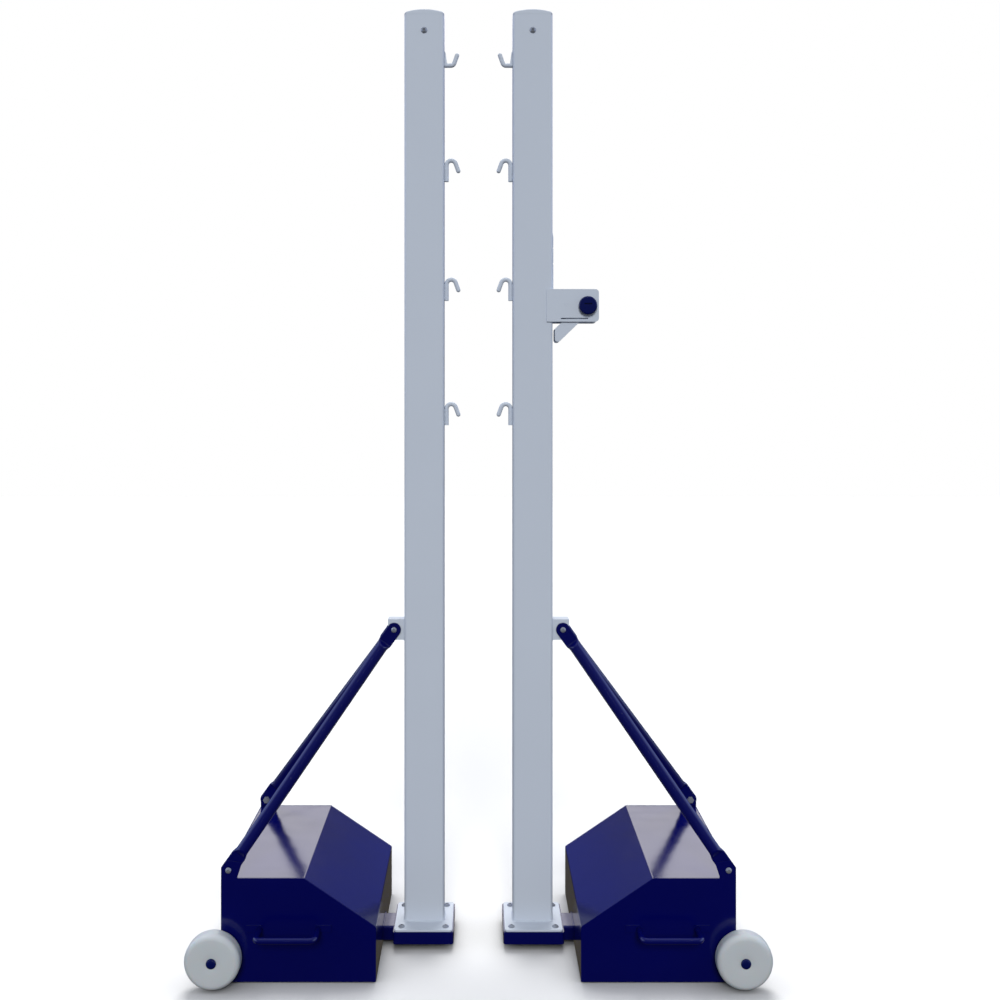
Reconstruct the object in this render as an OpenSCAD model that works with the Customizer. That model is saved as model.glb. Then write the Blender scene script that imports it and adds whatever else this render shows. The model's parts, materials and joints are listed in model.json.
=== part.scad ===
// Pair of free-standing volleyball net posts, each on a wheeled ballast casing.
// X runs along the net, Y is the depth of the stand, Z is up and the floor is Z = 0.
// A unit is drawn about its own post axis, with the net on its +X side. The right
// unit is the mirror image of the left one and alone carries the rope tensioner.

/* [Post] */
// Height at which the top hook carries the net's head cord
net_h = 2430; // [2200:5:2600]
// Distance between the two post axes as the pair stands
post_gap = 300; // [280:1:900]
// Width of the post tube along the net
post_w = 110; // [90:1:130]
// Depth of the post tube
post_d = 60; // [50:1:80]
// Outer corner radius of the post tube
post_r = 9; // [5:0.5:14]
// Wall of the post tube
post_wall = 4; // [2.5:0.5:5]
// Length of tube above the net height
post_over = 127; // [90:1:250]
// Thickness of the cap's rim on the tube's end
cap_rim = 4; // [2:0.5:8]
// Rise of the cap's dome above its rim
cap_rise = 10; // [4:0.5:20]
// Depth of the cap's plug inside the tube
plug_h = 62; // [56:1:100]
// Distance from the tube's end down to the cap bolt
cap_bolt_drop = 45; // [30:1:46]

/* [Net hooks] */
// Heights at which the three lower hooks carry a cord
lower_hook_h = [2153, 1821, 1474];
// Diameter of the hook rod
hook_rod = 12; // [8:0.5:14]
// Bend radius of a lower hook, to the middle of the rod
hook_bend = 13; // [11:0.5:18]
// Lean of every hook's tip away from the post, in degrees
hook_lean = 20; // [0:1:35]
// Straight length of a lower hook's tip
hook_tip = 22; // [12:1:30]
// Length of a lower hook's stem below its bend
hook_stem = 46; // [30:1:70]
// Straight run of the top hook out from the post
top_hook_run = 18; // [12:1:30]
// Bend radius of the top hook, to the middle of the rod
top_hook_bend = 10; // [8:0.5:16]
// Straight length of the top hook's tip
top_hook_tip = 23; // [12:1:40]
// Height and root thickness of the gusset above the top hook
gusset = [34, 8];

/* [Foot] */
// Side of the square flange under the post
flange_w = 158; // [150:1:180]
// Thickness of the flange
flange_t = 5; // [4:0.5:10]
// Side of the square pattern of flange bolts
flange_bolts_w = 120; // [118:1:126]
// Rim of the pad that shows round the flange
pad_margin = 3.5; // [0:0.5:8]
// Height of the pad with its skirt
pad_h = 32; // [20:1:36]
// Thickness of the pad's top plate
pad_top_t = 5; // [3:0.5:8]
// Wall of the pad's skirt
pad_wall = 4; // [2:0.5:6]
// Corner radius of the pad and the flange
pad_r = 8; // [3:0.5:14]
// Width of the arm that carries the pad
arm_w = 80; // [50:1:90]
// Height of the arm
arm_h = 40; // [38:1:60]
// Wall of the arm
arm_wall = 3; // [2:0.5:5]
// Length of the arm inside the casing
arm_in = 60; // [30:1:90]
// Distance from the post axis to the arm's free end
arm_out = 66; // [30:1:70]

/* [Ballast casing] */
// Distance from the post axis to the casing's near wall
casing_back = 112; // [95:1:160]
// Length of the casing along the net
casing_len = 396; // [360:1:500]
// Depth of the casing over its end plates
casing_d = 482; // [420:1:600]
// Height of the flat top above the floor
casing_h = 268; // [240:1:330]
// Height of the wall that faces the post
casing_low_h = 144; // [110:1:180]
// Length of the flat part of the top
flat_len = 212; // [200:1:260]
// Thickness of the casing's sheet and plates
sheet = 3; // [2:0.5:4]
// Outside radius of the sheet's folds
fold_r = 5; // [4.5:0.5:8]
// Thickness of the rubber strips underneath
foot_t = 3; // [2:0.5:8]
// Width of each rubber strip
foot_w = 30; // [20:1:50]
// Clear space left round the ballast blocks
block_gap = 2; // [1:0.5:5]
// Layers of ballast blocks under the flat part of the top
flat_layers = 3; // [1:1:4]
// Layers of ballast blocks under the slope
slope_layers = 2; // [1:1:3]

/* [Struts] */
// Diameter of the strut tube
strut_d = 31.5; // [24:0.5:34]
// Width of a strut's flattened end
strut_flat_w = 39; // [36:0.5:42]
// Thickness of a strut's flattened end
strut_flat_t = 5; // [4:0.5:6]
// Length of a flattened end from its bolt to the neck
strut_flat_l = 42; // [38:1:60]
// Length of the neck between a flattened end and the tube
strut_neck_l = 18; // [14:1:50]
// Height of the bolt through the top of both struts
strut_top_h = 855; // [700:1:1100]
// Distance of that bolt from the post's face
lug_bolt_out = 29; // [28:0.5:36]
// Reach of the lug from the post's face
lug_reach = 46; // [42:0.5:60]
// Depth of the lug between the two struts
lug_d = 36; // [30:1:50]
// Height of the lug
lug_h = 57; // [50:1:80]
// Wall of the lug
lug_wall = 5; // [3:0.5:8]
// Distance of a foot bolt from the casing's outer wall
ear_bolt_in = 19; // [18:0.5:22]
// Height of a foot bolt above the flat top
ear_bolt_up = 20; // [19.5:0.5:24]
// Width of an end plate's ear at its root
ear_w = 41; // [38:0.5:50]
// Height of an ear's outer edge
ear_side = 27; // [25:0.5:36]
// Place of an ear's inner corner from its bolt, inwards and up
ear_corner = [35, 20];

/* [Wheels] */
// Diameter of a wheel
wheel_d = 141.5; // [120:0.5:180]
// Clear height under the wheels while a unit stands on its feet
wheel_clear = 5; // [0:0.5:15]
// Width of a wheel at its rim
wheel_w = 45; // [35:1:55]
// Radius of the rim's rounded shoulder
rim_r = 13; // [6:0.5:16]
// Depth of the dish in a wheel's side
dish = 5; // [2:0.5:7]
// Distance of the hub's faces inside the rim's faces
hub_in = 2; // [0:0.5:4]
// Diameter of the hub
hub_d = 44; // [34:1:60]
// Diameter of the axle
axle_d = 20; // [16:0.5:24]
// Wall of the bush in each wheel
bush_wall = 3; // [1.5:0.5:4]
// Distance of the axle outside the casing's outer wall
axle_out = 12.5; // [12.5:0.5:30]
// Gap between a wheel's rim and the end plate
wheel_gap = 6.5; // [4:0.5:20]
// Diameter of the caps on the axle's ends
axle_cap_d = 26; // [25:0.5:34]
// Height of those caps
axle_cap_h = 5.5; // [5:0.5:9]
// Thickness of the plates that hold the axle
axle_plate_t = 10; // [6:0.5:16]
// Width of the metal round the axle in those plates
axle_plate_rim = 6; // [4:0.5:10]

/* [Handles] */
// Diameter of the handle bar
handle_d = 16; // [12:0.5:20]
// Length of a handle's grip over its corners
handle_len = 165; // [120:1:200]
// Distance of the grip's middle from the end plate
handle_stand = 62; // [50:1:80]
// Bend radius of the bar, to its middle
handle_bend = 14; // [11:0.5:24]
// Height of a handle above the floor
handle_h = 140; // [60:1:200]
// Distance from the post axis to the middle of a handle
handle_back = 334; // [250:1:360]
// Length of a welded foot
handle_foot_l = 42; // [28:1:50]
// Height and thickness of a welded foot
handle_foot = [16, 4];

/* [Fasteners] */
// Diameter of every bolt
bolt_d = 10; // [8:0.5:10]
// Diameter of a bolt's domed head
bolt_head_d = 17.5; // [16:0.5:18]
// Height of a bolt's domed head
bolt_head_h = 5.5; // [4:0.5:7]
// Diameter of the heads of the strut bolts
strut_head_d = 15.5; // [15:0.5:18]
// Hexagon of a nut across its flats
nut_af = 17; // [16:0.5:18]
// Height of a nut
nut_h = 8; // [6:0.5:10]

/* [Rope tensioner] */
// Height of the spindle
spindle_h = 1751; // [1600:1:1900]
// Distance of the spindle from the post axis
spindle_out = 151; // [140:1:165]
// Start and end of the housing, outward from the post axis
housing_x = [38, 182];
// Reach of the housing below and above the spindle
housing_reach = [44, 46];
// Thickness of the housing's plate
housing_t = 4; // [3:0.5:5]
// Radius of the housing's outer corners
housing_r = 10; // [4:0.5:14]
// Diameter of the spindle
spindle_d = 16; // [12:0.5:18]
// Diameter of the knob
knob_d = 51; // [40:1:56]
// Thickness of the knob
knob_t = 15; // [10:0.5:22]
// Radius and length of the rope drum
drum = [11, 26];
// Radius of the drum's flanges
drum_flange_r = 19; // [14:0.5:20]
// Number of ratchet teeth
teeth = 12; // [8:4:16]
// Outer radius of the ratchet wheel
ratchet_r = 24; // [22:0.5:26]
// Depth of a ratchet tooth
tooth_h = 4; // [3:0.5:5]
// Thickness of the ratchet wheel and the pawl
ratchet_t = 5; // [3:0.5:6]
// Place of the pawl's pin from the spindle, towards the post and up
pawl_pin_from = [60, 3];
// Diameter of the pawl's pin
pawl_pin_d = 8; // [6:0.5:9]
// Width of a strap of the ratchet handle
strap_w = 34; // [26:1:38]
// Thickness of the ratchet handle's sheet
strap_t = 4; // [3:0.5:5]
// Slope of the ratchet handle below the level, in degrees
strap_slope = 44; // [40:1:48]
// Lowest point of the ratchet handle below the spindle
strap_drop = 99; // [90:1:110]
// Distance of the ratchet handle from the post's face
strap_out = 6; // [1:0.5:8]
// Height of the ratchet handle's cross web
web_h = 20; // [14:1:26]
// Start, end and height of the slot in the front cheek
slot = [77, 152, 3.5];
// Height of the slot above the housing's lower edge
slot_up = 7; // [6:0.5:12]
// Bottom and top of the notched strip above the spindle
strip_up = [47, 204];
// Width and thickness of the notched strip
strip = [24, 3];
// Heights of the notches above the spindle
notch_up = [119, 163];

/* [Clearances] */
// Running clearance on the radius of every turning fit
run_gap = 0.05; // [0.02:0.01:0.1]
// Gap between pieces that pass each other
free_gap = 0.3; // [0.2:0.05:0.5]
// Clearance on the radius of bolt holes
hole_gap = 0.2; // [0.1:0.05:0.5]
// Length of a bolt or spindle beyond its nut or plate
stick_out = 2; // [1:0.5:4]

/* [Hidden] */

$fn = 64;
wheel_fn = 96;
dome_fn = 128;
// How far a cutting shape runs past what it cuts
past = 1;
// How far a bar runs into the bend that it joins, and how much thinner it is
bend_in = 0.5;
bar_thin = 0.05;
// Step of a strut's neck against its flattened end and its tube
neck_step = 0.2;

WHITE = [0.80, 0.83, 0.88];
NAVY = [0.05, 0.07, 0.36];
NYLON = [0.90, 0.91, 0.91];
ZINC = [0.62, 0.64, 0.68];
STEEL = [0.45, 0.46, 0.48];
RUBBER = [0.08, 0.08, 0.09];
CONCRETE = [0.55, 0.54, 0.51];

post_face = post_w / 2;
arm_top = foot_t + arm_h;
pad_top = arm_top + pad_top_t;
post_foot = pad_top + flange_t;
post_top = net_h + post_over;
cap_bolt_z = post_top - cap_bolt_drop;
pad_w = flange_w + 2 * pad_margin;

casing_near = -casing_back;
casing_far = -casing_back - casing_len;
ridge_x = casing_far + flat_len;
plate_out = casing_d / 2;
plate_in = plate_out - sheet;
slope_run = casing_near - ridge_x;
slope_drop = casing_h - casing_low_h;
slope_angle = atan2(slope_drop, slope_run);

strut_top = [-post_face - lug_bolt_out, strut_top_h];
strut_foot = [casing_far + ear_bolt_in, casing_h + ear_bolt_up];
strut_run = strut_top - strut_foot;
strut_angle = atan2(strut_run[1], strut_run[0]);
strut_top_y = lug_d / 2 + strut_flat_t / 2;
strut_foot_y = plate_in - strut_flat_t / 2;

axle_x = casing_far - axle_out;
axle_z = wheel_clear + wheel_d / 2;
axle_r = axle_d / 2;
bush_r = axle_r + run_gap + bush_wall;
hub_y = wheel_w / 2 - hub_in;
wheel_y = plate_out + wheel_gap + wheel_w / 2;
axle_end_y = wheel_y + hub_y + 0.6 * axle_cap_h;
axle_cap_y = wheel_y + hub_y + free_gap;

spindle_at = [spindle_out, spindle_h];
pawl_pin_at = spindle_at + [-pawl_pin_from[0], pawl_pin_from[1]];
housing_z = [spindle_h - housing_reach[0], spindle_h + housing_reach[1]];
strip_z = [for (up = strip_up) spindle_h + up];
cheek_y = post_d / 2;
strap_gap = 1.5;
ratchet_gap = 2;
strap_y = cheek_y - strap_gap;
ratchet_y = strap_y - strap_t - ratchet_gap;
hole_r = bolt_d / 2 + hole_gap;
// Angle on the ratchet wheel at which the pawl's nose holds a tooth
pawl_contact = 112;

// Places one unit: the left one as drawn, the right one mirrored
module at_left() {
    translate([-post_gap / 2, 0, 0]) children();
}
module at_right() {
    translate([post_gap / 2, 0, 0]) mirror([1, 0, 0]) children();
}
module at_both() {
    at_left() children();
    at_right() children();
}
// Places the tensioner, drawn with its reach along +X, on the right post
module at_tensioner() {
    translate([post_gap / 2, 0, 0]) children();
}
// Repeats a piece at the front and at the rear of the stand
module front_and_rear() {
    children();
    mirror([0, 1, 0]) children();
}

// Extrudes an outline drawn in X and Z between two depths
module slab_y(y0, y1) {
    translate([0, y1, 0]) rotate([90, 0, 0]) linear_extrude(y1 - y0) children();
}
// Cylinder along Y at a place in X and Z
module rod_y(at, y0, y1, r) {
    translate([at[0], y1, at[1]]) rotate([90, 0, 0]) cylinder(h = y1 - y0, r = r);
}
// Round bar between two points, a hair thinner than the bends and ends it joins
module run(a, b, r) {
    bar(a, b, r - bar_thin);
}
// Round bar between two points
module bar(a, b, r) {
    v = b - a;
    translate(a) rotate([0, acos(v[2] / norm(v)), atan2(v[1], v[0])])
        cylinder(h = norm(v), r = r);
}
// Bend of a round bar in the X and Z plane
module bend_xz(at, bend, start, sweep, r) {
    translate([at[0], 0, at[1]]) rotate([90, 0, 0]) rotate([0, 0, start])
        rotate_extrude(angle = sweep) translate([bend, 0]) circle(r);
}
// Rectangle with round corners, centred
module round_rect(w, d, r) {
    square([w - 2 * r, d], center = true);
    square([w, d - 2 * r], center = true);
    for (x = [-1, 1], y = [-1, 1])
        translate([x * (w / 2 - r), y * (d / 2 - r)]) circle(r);
}
// Points of an outline whose corners are rounded, each corner being [x, z, radius]
function rounded(corners, steps = 6) = [
    for (i = [0 : len(corners) - 1])
        let (n = len(corners),
             c = corners[i],
             here = [c[0], c[1]],
             before = corners[(i + n - 1) % n],
             after = corners[(i + 1) % n],
             u = unit([before[0], before[1]] - here),
             v = unit([after[0], after[1]] - here),
             half = acos(u * v) / 2,
             mid = here + unit(u + v) * c[2] / sin(half),
             a0 = atan2(here[1] + u[1] * c[2] / tan(half) - mid[1],
                        here[0] + u[0] * c[2] / tan(half) - mid[0]),
             turn = sign(u[0] * v[1] - u[1] * v[0]) * (180 - 2 * half))
        each c[2] == 0 ? [here]
            : [for (s = [0 : steps]) mid + c[2] * dir(a0 - turn * s / steps)]
];
function unit(v) = v / norm(v);
function dir(a) = [cos(a), sin(a)];
function xz(v) = [v[0], 0, v[1]];

// Bolt with a domed, socketed head; the shank runs down from the head's seat
module bolt(length, head_d = bolt_head_d) {
    dome_h = bolt_head_h - 1;
    dome_r = (pow(head_d / 2, 2) + pow(dome_h, 2)) / (2 * dome_h);
    socket_af = bolt_d * 0.6;
    translate([0, 0, -length]) cylinder(h = length, r = bolt_d / 2);
    difference() {
        intersection() {
            cylinder(h = bolt_head_h, r = head_d / 2);
            translate([0, 0, bolt_head_h - dome_r]) sphere(dome_r);
        }
        translate([0, 0, bolt_head_h / 2])
            cylinder(h = bolt_head_h, r = socket_af / sqrt(3), $fn = 6);
    }
}
// Hexagon nut, its seat at Z = 0 and its body below
module nut() {
    translate([0, 0, -nut_h]) difference() {
        cylinder(h = nut_h, r = nut_af / sqrt(3), $fn = 6);
        translate([0, 0, -past])
            cylinder(h = nut_h + 2 * past, r = bolt_d / 2 + run_gap);
    }
}
// Turns a fastener so that its head faces the front and its shank runs to the rear
module facing_front() {
    rotate([90, 0, 0]) children();
}

module post_tube() {
    color(WHITE) difference() {
        translate([0, 0, post_foot]) linear_extrude(post_top - post_foot) difference() {
            round_rect(post_w, post_d, post_r);
            round_rect(post_w - 2 * post_wall, post_d - 2 * post_wall,
                       post_r - post_wall);
        }
        rod_y([0, cap_bolt_z], -post_d, post_d, hole_r);
    }
}

module post_cap() {
    dome_r = (pow(post_w / 2, 2) + pow(cap_rise, 2)) / (2 * cap_rise);
    plug_w = post_w - 2 * post_wall - 2 * free_gap;
    plug_d = post_d - 2 * post_wall - 2 * free_gap;
    color(WHITE) {
        translate([0, 0, post_top]) intersection() {
            linear_extrude(cap_rim + cap_rise) round_rect(post_w, post_d, post_r);
            translate([0, post_d, cap_rim + cap_rise - dome_r]) rotate([90, 0, 0])
                cylinder(h = 2 * post_d, r = dome_r, $fn = dome_fn);
        }
        difference() {
            translate([0, 0, post_top - plug_h]) linear_extrude(plug_h)
                square([plug_w - 2 * post_r, plug_d], center = true);
            rod_y([0, cap_bolt_z], -post_d, post_d, hole_r);
        }
    }
}

// Rod hook that opens upward, with a tapered gusset on the post's face
module top_hook() {
    r = hook_rod / 2;
    gusset_y = 0.8 * r;
    mid_z = net_h - r;
    bend_at = [post_face + top_hook_run, mid_z + top_hook_bend];
    rise = 90 - hook_lean;
    tip_from = bend_at + top_hook_bend * dir(rise - 90);
    tip_to = tip_from + top_hook_tip * dir(rise);
    color(WHITE) {
        run([post_face, 0, mid_z], [bend_at[0] + bend_in, 0, mid_z], r);
        bend_xz(bend_at, top_hook_bend, -90, rise, r);
        run(xz(tip_from - bend_in * dir(rise)), xz(tip_to), r);
        translate(xz(tip_to)) rotate([0, 90 - rise, 0]) sphere(r);
        slab_y(-gusset_y, gusset_y) polygon([
            [post_face, mid_z],
            [post_face + gusset[1], mid_z],
            [post_face + gusset[1] * 0.4, mid_z + gusset[0]],
            [post_face, mid_z + gusset[0] + r]
        ]);
    }
}

// Rod hook that opens downward; a weld along its stem joins it to the post's face
module lower_hook(bearing_z) {
    r = hook_rod / 2;
    weld = hook_rod * 0.4;
    weld_in = 1;
    stem_x = post_face + r;
    bend_at = [stem_x + hook_bend, bearing_z - hook_bend + r];
    tip_from = bend_at + hook_bend * dir(hook_lean);
    tip_to = tip_from + hook_tip * dir(hook_lean - 90);
    stem_z = bend_at[1] - hook_stem;
    run([stem_x, 0, stem_z], [stem_x, 0, bend_at[1] + bend_in], r);
    bend_xz(bend_at, hook_bend, hook_lean, 180 - hook_lean, r);
    run(xz(tip_from - bend_in * dir(hook_lean - 90)), xz(tip_to), r);
    translate(xz(tip_to)) rotate([0, 180 - hook_lean, 0]) sphere(r);
    translate([post_face, -weld / 2, stem_z + weld_in])
        cube([r, weld, hook_stem - 2 * weld_in]);
}

module lower_hooks() {
    color(WHITE) for (z = lower_hook_h) lower_hook(z);
}

// Short box section, closed on top, that carries the heads of both struts
module strut_lug() {
    low = strut_top_h - lug_h / 2;
    color(WHITE) difference() {
        translate([-post_face - lug_reach, -lug_d / 2, low])
            cube([lug_reach, lug_d, lug_h]);
        translate([-post_face - lug_reach + lug_wall, -lug_d / 2 + lug_wall, low - past])
            cube([lug_reach - 2 * lug_wall, lug_d - 2 * lug_wall,
                  lug_h - lug_wall + past]);
        rod_y(strut_top, -lug_d, lug_d, hole_r);
    }
}

module flange_holes(z0, z1) {
    for (x = [-1, 1], y = [-1, 1])
        translate([x, y, 0] * flange_bolts_w / 2 + [0, 0, z0])
            cylinder(h = z1 - z0, r = hole_r);
}

module base_flange() {
    color(WHITE) difference() {
        translate([0, 0, pad_top]) linear_extrude(flange_t)
            round_rect(flange_w, flange_w, pad_r);
        flange_holes(pad_top - past, post_foot + past);
    }
}

// Pad with a skirt all round, notched where the arm runs in
module foot_pad() {
    inner_w = pad_w - 2 * pad_wall;
    color(NAVY) difference() {
        translate([0, 0, pad_top - pad_h]) linear_extrude(pad_h)
            round_rect(pad_w, pad_w, pad_r);
        translate([0, 0, pad_top - pad_h - past])
            linear_extrude(pad_h - pad_top_t + past)
                round_rect(inner_w, inner_w, pad_r - pad_wall / 2);
        translate([-pad_w, -arm_w / 2 - free_gap, 0])
            cube([pad_w, arm_w + 2 * free_gap, arm_top]);
        flange_holes(arm_top - past, pad_top + past);
    }
}

module foot_arm() {
    start = casing_near - arm_in;
    color(NAVY) translate([start, 0, foot_t + arm_h / 2]) rotate([90, 0, 90])
        linear_extrude(arm_out - start) difference() {
            round_rect(arm_w, arm_h, 2 * arm_wall);
            round_rect(arm_w - 2 * arm_wall, arm_h - 2 * arm_wall, arm_wall);
        }
}

// Outline of the casing in X and Z, drawn inwards by a distance
function casing_outline(inset, radius) =
    let (turn_in = inset * tan(slope_angle / 2),
         low_in = inset * tan((90 - slope_angle) / 2))
    [
        [casing_far + inset, foot_t, 0],
        [casing_far + inset, casing_h - inset, radius],
        [ridge_x - turn_in, casing_h - inset, radius],
        [casing_near - inset, casing_low_h - low_in, radius],
        [casing_near - inset, foot_t, 0]
    ];

// Sheet folded over the casing, from its outer wall to the wall by the post
module casing_shell() {
    color(NAVY) difference() {
        slab_y(-plate_in, plate_in) difference() {
            polygon(rounded(casing_outline(0, fold_r)));
            polygon(rounded(casing_outline(sheet, fold_r - sheet)));
        }
        translate([casing_near - 2 * sheet, -arm_w / 2 - free_gap, 0])
            cube([4 * sheet, arm_w + 2 * free_gap, arm_top + free_gap]);
    }
}

// End plate with the ear that takes a strut's foot
module end_plate() {
    corner = strut_foot + ear_corner;
    peak = strut_foot + [-5, ear_side - 1];
    ear_r = 3;
    root_r = 2;
    color(NAVY) difference() {
        slab_y(-plate_out, -plate_in) polygon(rounded([
            [casing_far, foot_t, 0],
            [casing_far, casing_h + ear_side, ear_r],
            [peak[0], peak[1], ear_r],
            [corner[0], corner[1], ear_r],
            [casing_far + ear_w, casing_h, root_r],
            [ridge_x, casing_h, fold_r],
            [casing_near, casing_low_h, fold_r],
            [casing_near, foot_t, 0]
        ]));
        rod_y(strut_foot, -casing_d, casing_d, hole_r);
    }
}

module floor_plate() {
    color(NAVY) difference() {
        translate([casing_far + sheet, -plate_in, foot_t])
            cube([casing_len - 2 * sheet, 2 * plate_in, sheet]);
        translate([casing_near - arm_in - free_gap, -arm_w / 2 - free_gap, 0])
            cube([arm_in + sheet, arm_w + 2 * free_gap, casing_low_h]);
    }
}

// Stacks of blocks on the floor plate, under the flat top and under the slope
module ballast_blocks() {
    flat_x = casing_far + sheet + block_gap;
    slope_end = casing_near - arm_in - block_gap;
    flat_top = casing_h - sheet - block_gap;
    slope_top = casing_h - block_gap - sheet / cos(slope_angle)
        - (slope_end - ridge_x) * tan(slope_angle);
    color(CONCRETE) front_and_rear() {
        block_stack(flat_x, ridge_x - block_gap, flat_top, flat_layers);
        block_stack(ridge_x, slope_end, slope_top, slope_layers);
    }
}
module block_stack(x0, x1, top, layers) {
    floor_z = foot_t + sheet;
    layer_h = (top - floor_z) / layers;
    half_d = plate_in - block_gap;
    for (i = [0 : layers - 1])
        translate([x0, block_gap / 2, floor_z + i * layer_h])
            cube([x1 - x0, half_d - block_gap / 2, layer_h - free_gap]);
}

// Strut at the front: a tube whose flattened ends lie against the lug and the ear
module strut() {
    along = [cos(strut_angle), 0, sin(strut_angle)];
    low = [strut_foot[0], -strut_foot_y, strut_foot[1]];
    high = [strut_top[0], -strut_top_y, strut_top[1]];
    low_neck = low + along * strut_flat_l;
    high_neck = high - along * strut_flat_l;
    axis = unit(high_neck - low_neck);
    neck = axis * (strut_neck_l + neck_step);
    color(NAVY) difference() {
        union() {
            strut_end(low, 0);
            strut_end(high, 180);
            bar(low_neck + neck, high_neck - neck, strut_d / 2);
            strut_neck(low_neck, axis);
            strut_neck(high_neck, -axis);
        }
        rod_y(strut_foot, -casing_d, 0, hole_r);
        rod_y(strut_top, -lug_d, 0, hole_r);
        translate([casing_far - strut_flat_w, -casing_d, 0])
            cube([casing_len, casing_d, casing_h + free_gap]);
    }
}
// Flattened end, round about its bolt and straight from there towards the tube
module strut_end(at, turn) {
    translate(at) rotate([0, turn - strut_angle, 0]) rotate([90, 0, 0])
        linear_extrude(strut_flat_t, center = true) {
            translate([0, -strut_flat_w / 2]) square([strut_flat_l, strut_flat_w]);
            circle(strut_flat_w / 2);
        }
}
// Blend from the flattened end to the round tube
module strut_neck(at, axis) {
    disc_t = 0.5;
    hull() {
        translate(at) rotate([0, -strut_angle, 0])
            cube([1, strut_flat_t - neck_step, strut_flat_w - neck_step], center = true);
        bar(at + axis * strut_neck_l, at + axis * (strut_neck_l + disc_t),
            strut_d / 2 + neck_step / 2, $fn = 32);
    }
}

// Bow handle at the front: a bent bar welded on two flat feet
module handle() {
    r = handle_d / 2;
    leg_x = handle_len / 2 - r;
    grip_y = -plate_out - handle_stand;
    foot_y = -plate_out - handle_foot[1];
    translate([-handle_back, 0, handle_h]) {
        bar([-leg_x + handle_bend, grip_y, 0], [leg_x - handle_bend, grip_y, 0], r);
        for (side = [0, 1]) mirror([side, 0, 0]) {
            translate([leg_x - handle_bend, grip_y + handle_bend, 0])
                rotate([0, 0, -90]) rotate_extrude(angle = 90)
                    translate([handle_bend, 0]) circle(r);
            bar([leg_x, grip_y + handle_bend, 0], [leg_x, foot_y, 0], r);
            translate([leg_x - r, foot_y, -handle_foot[0] / 2])
                cube([handle_foot_l, handle_foot[1], handle_foot[0]]);
        }
    }
}

module handles() {
    color(NAVY) front_and_rear() handle();
}

module axle() {
    color(STEEL) rod_y([axle_x, axle_z], -axle_end_y, axle_end_y, axle_r);
}

// Three plates welded on the outer wall, bored for the axle
module axle_plates() {
    nose_r = axle_r + axle_plate_rim;
    spread = plate_in - 2 * axle_plate_t;
    color(NAVY) for (y = [-spread, 0, spread]) translate([0, y, 0]) difference() {
        slab_y(-axle_plate_t / 2, axle_plate_t / 2) difference() {
            union() {
                translate([axle_x, axle_z]) circle(nose_r);
                translate([axle_x, axle_z - nose_r])
                    square([axle_out + nose_r, 2 * nose_r]);
            }
            translate([casing_far, 0]) square([casing_len, casing_h]);
        }
        rod_y([axle_x, axle_z], -casing_d, casing_d, axle_r + run_gap);
    }
}

// Half section of a wheel: radius across, width up, from the bore to the tread
function wheel_side() =
    let (half_w = wheel_w / 2,
         dish_y = half_w - dish,
         hub_edge = hub_d / 2 - 5,
         dish_mid = hub_d / 2 + 10,
         rim_edge = wheel_d / 2 - rim_r - 7)
    concat(
        [[bush_r, hub_y], [hub_edge, hub_y]],
        [for (s = [1 : 6]) ease([hub_edge, hub_y], [dish_mid, dish_y], s / 6)],
        [for (s = [1 : 6]) ease([dish_mid, dish_y], [rim_edge, half_w], s / 6)],
        [for (a = [90 : -15 : 0])
            [wheel_d / 2 - rim_r + rim_r * cos(a), half_w - rim_r + rim_r * sin(a)]]
    );
// Point on a soft step from one place to another
function ease(a, b, t) =
    [a[0] + (b[0] - a[0]) * t, a[1] + (b[1] - a[1]) * (1 - cos(180 * t)) / 2];
module wheel(side) {
    half = wheel_side();
    n = len(half);
    color(NYLON) translate([axle_x, side * wheel_y, axle_z]) rotate([90, 0, 0])
        rotate_extrude($fn = wheel_fn) polygon(concat(
            half,
            [for (i = [n - 1 : -1 : 0]) [half[i][0], -half[i][1]]]
        ));
}

module wheel_bush(side) {
    at = [axle_x, axle_z];
    color(STEEL) translate([0, side * wheel_y, 0]) difference() {
        rod_y(at, -hub_y, hub_y, bush_r);
        rod_y(at, -wheel_w, wheel_w, axle_r + run_gap);
    }
}

// Domed caps pushed on the ends of the axle
module axle_caps() {
    r = axle_cap_d / 2;
    edge_r = axle_cap_h / 2;
    color(NAVY) front_and_rear()
        translate([axle_x, -axle_cap_y, axle_z]) rotate([90, 0, 0]) difference() {
            rotate_extrude() polygon(concat(
                [[0, 0], [r, 0]],
                [for (a = [0 : 18 : 72])
                    [r - edge_r + edge_r * cos(a), edge_r + edge_r * sin(a)]],
                [[0, axle_cap_h]]
            ));
            translate([0, 0, -past])
                cylinder(h = past + axle_end_y - axle_cap_y, r = axle_r + run_gap);
        }
}

// Strips under the casing's floor and under the arm's free end
module rubber_feet() {
    edge = 6;
    color(RUBBER) at_both() {
        for (x = [casing_far + edge, casing_near - edge - foot_w])
            translate([x, -plate_in + edge, 0])
                cube([foot_w, 2 * (plate_in - edge), foot_t]);
        translate([arm_out - foot_w - edge, -arm_w / 2 + 2 * arm_wall, 0])
            cube([foot_w, arm_w - 4 * arm_wall, foot_t]);
    }
}

module cap_bolts() {
    length = post_d + nut_h + stick_out;
    color(ZINC) at_both() translate([0, -post_d / 2, cap_bolt_z])
        facing_front() bolt(length);
}

module flange_bolts() {
    length = flange_t + pad_top_t + nut_h + stick_out;
    color(ZINC) at_both() for (x = [-1, 1], y = [-1, 1])
        translate([x, y, 0] * flange_bolts_w / 2 + [0, 0, post_foot]) bolt(length);
}

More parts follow.
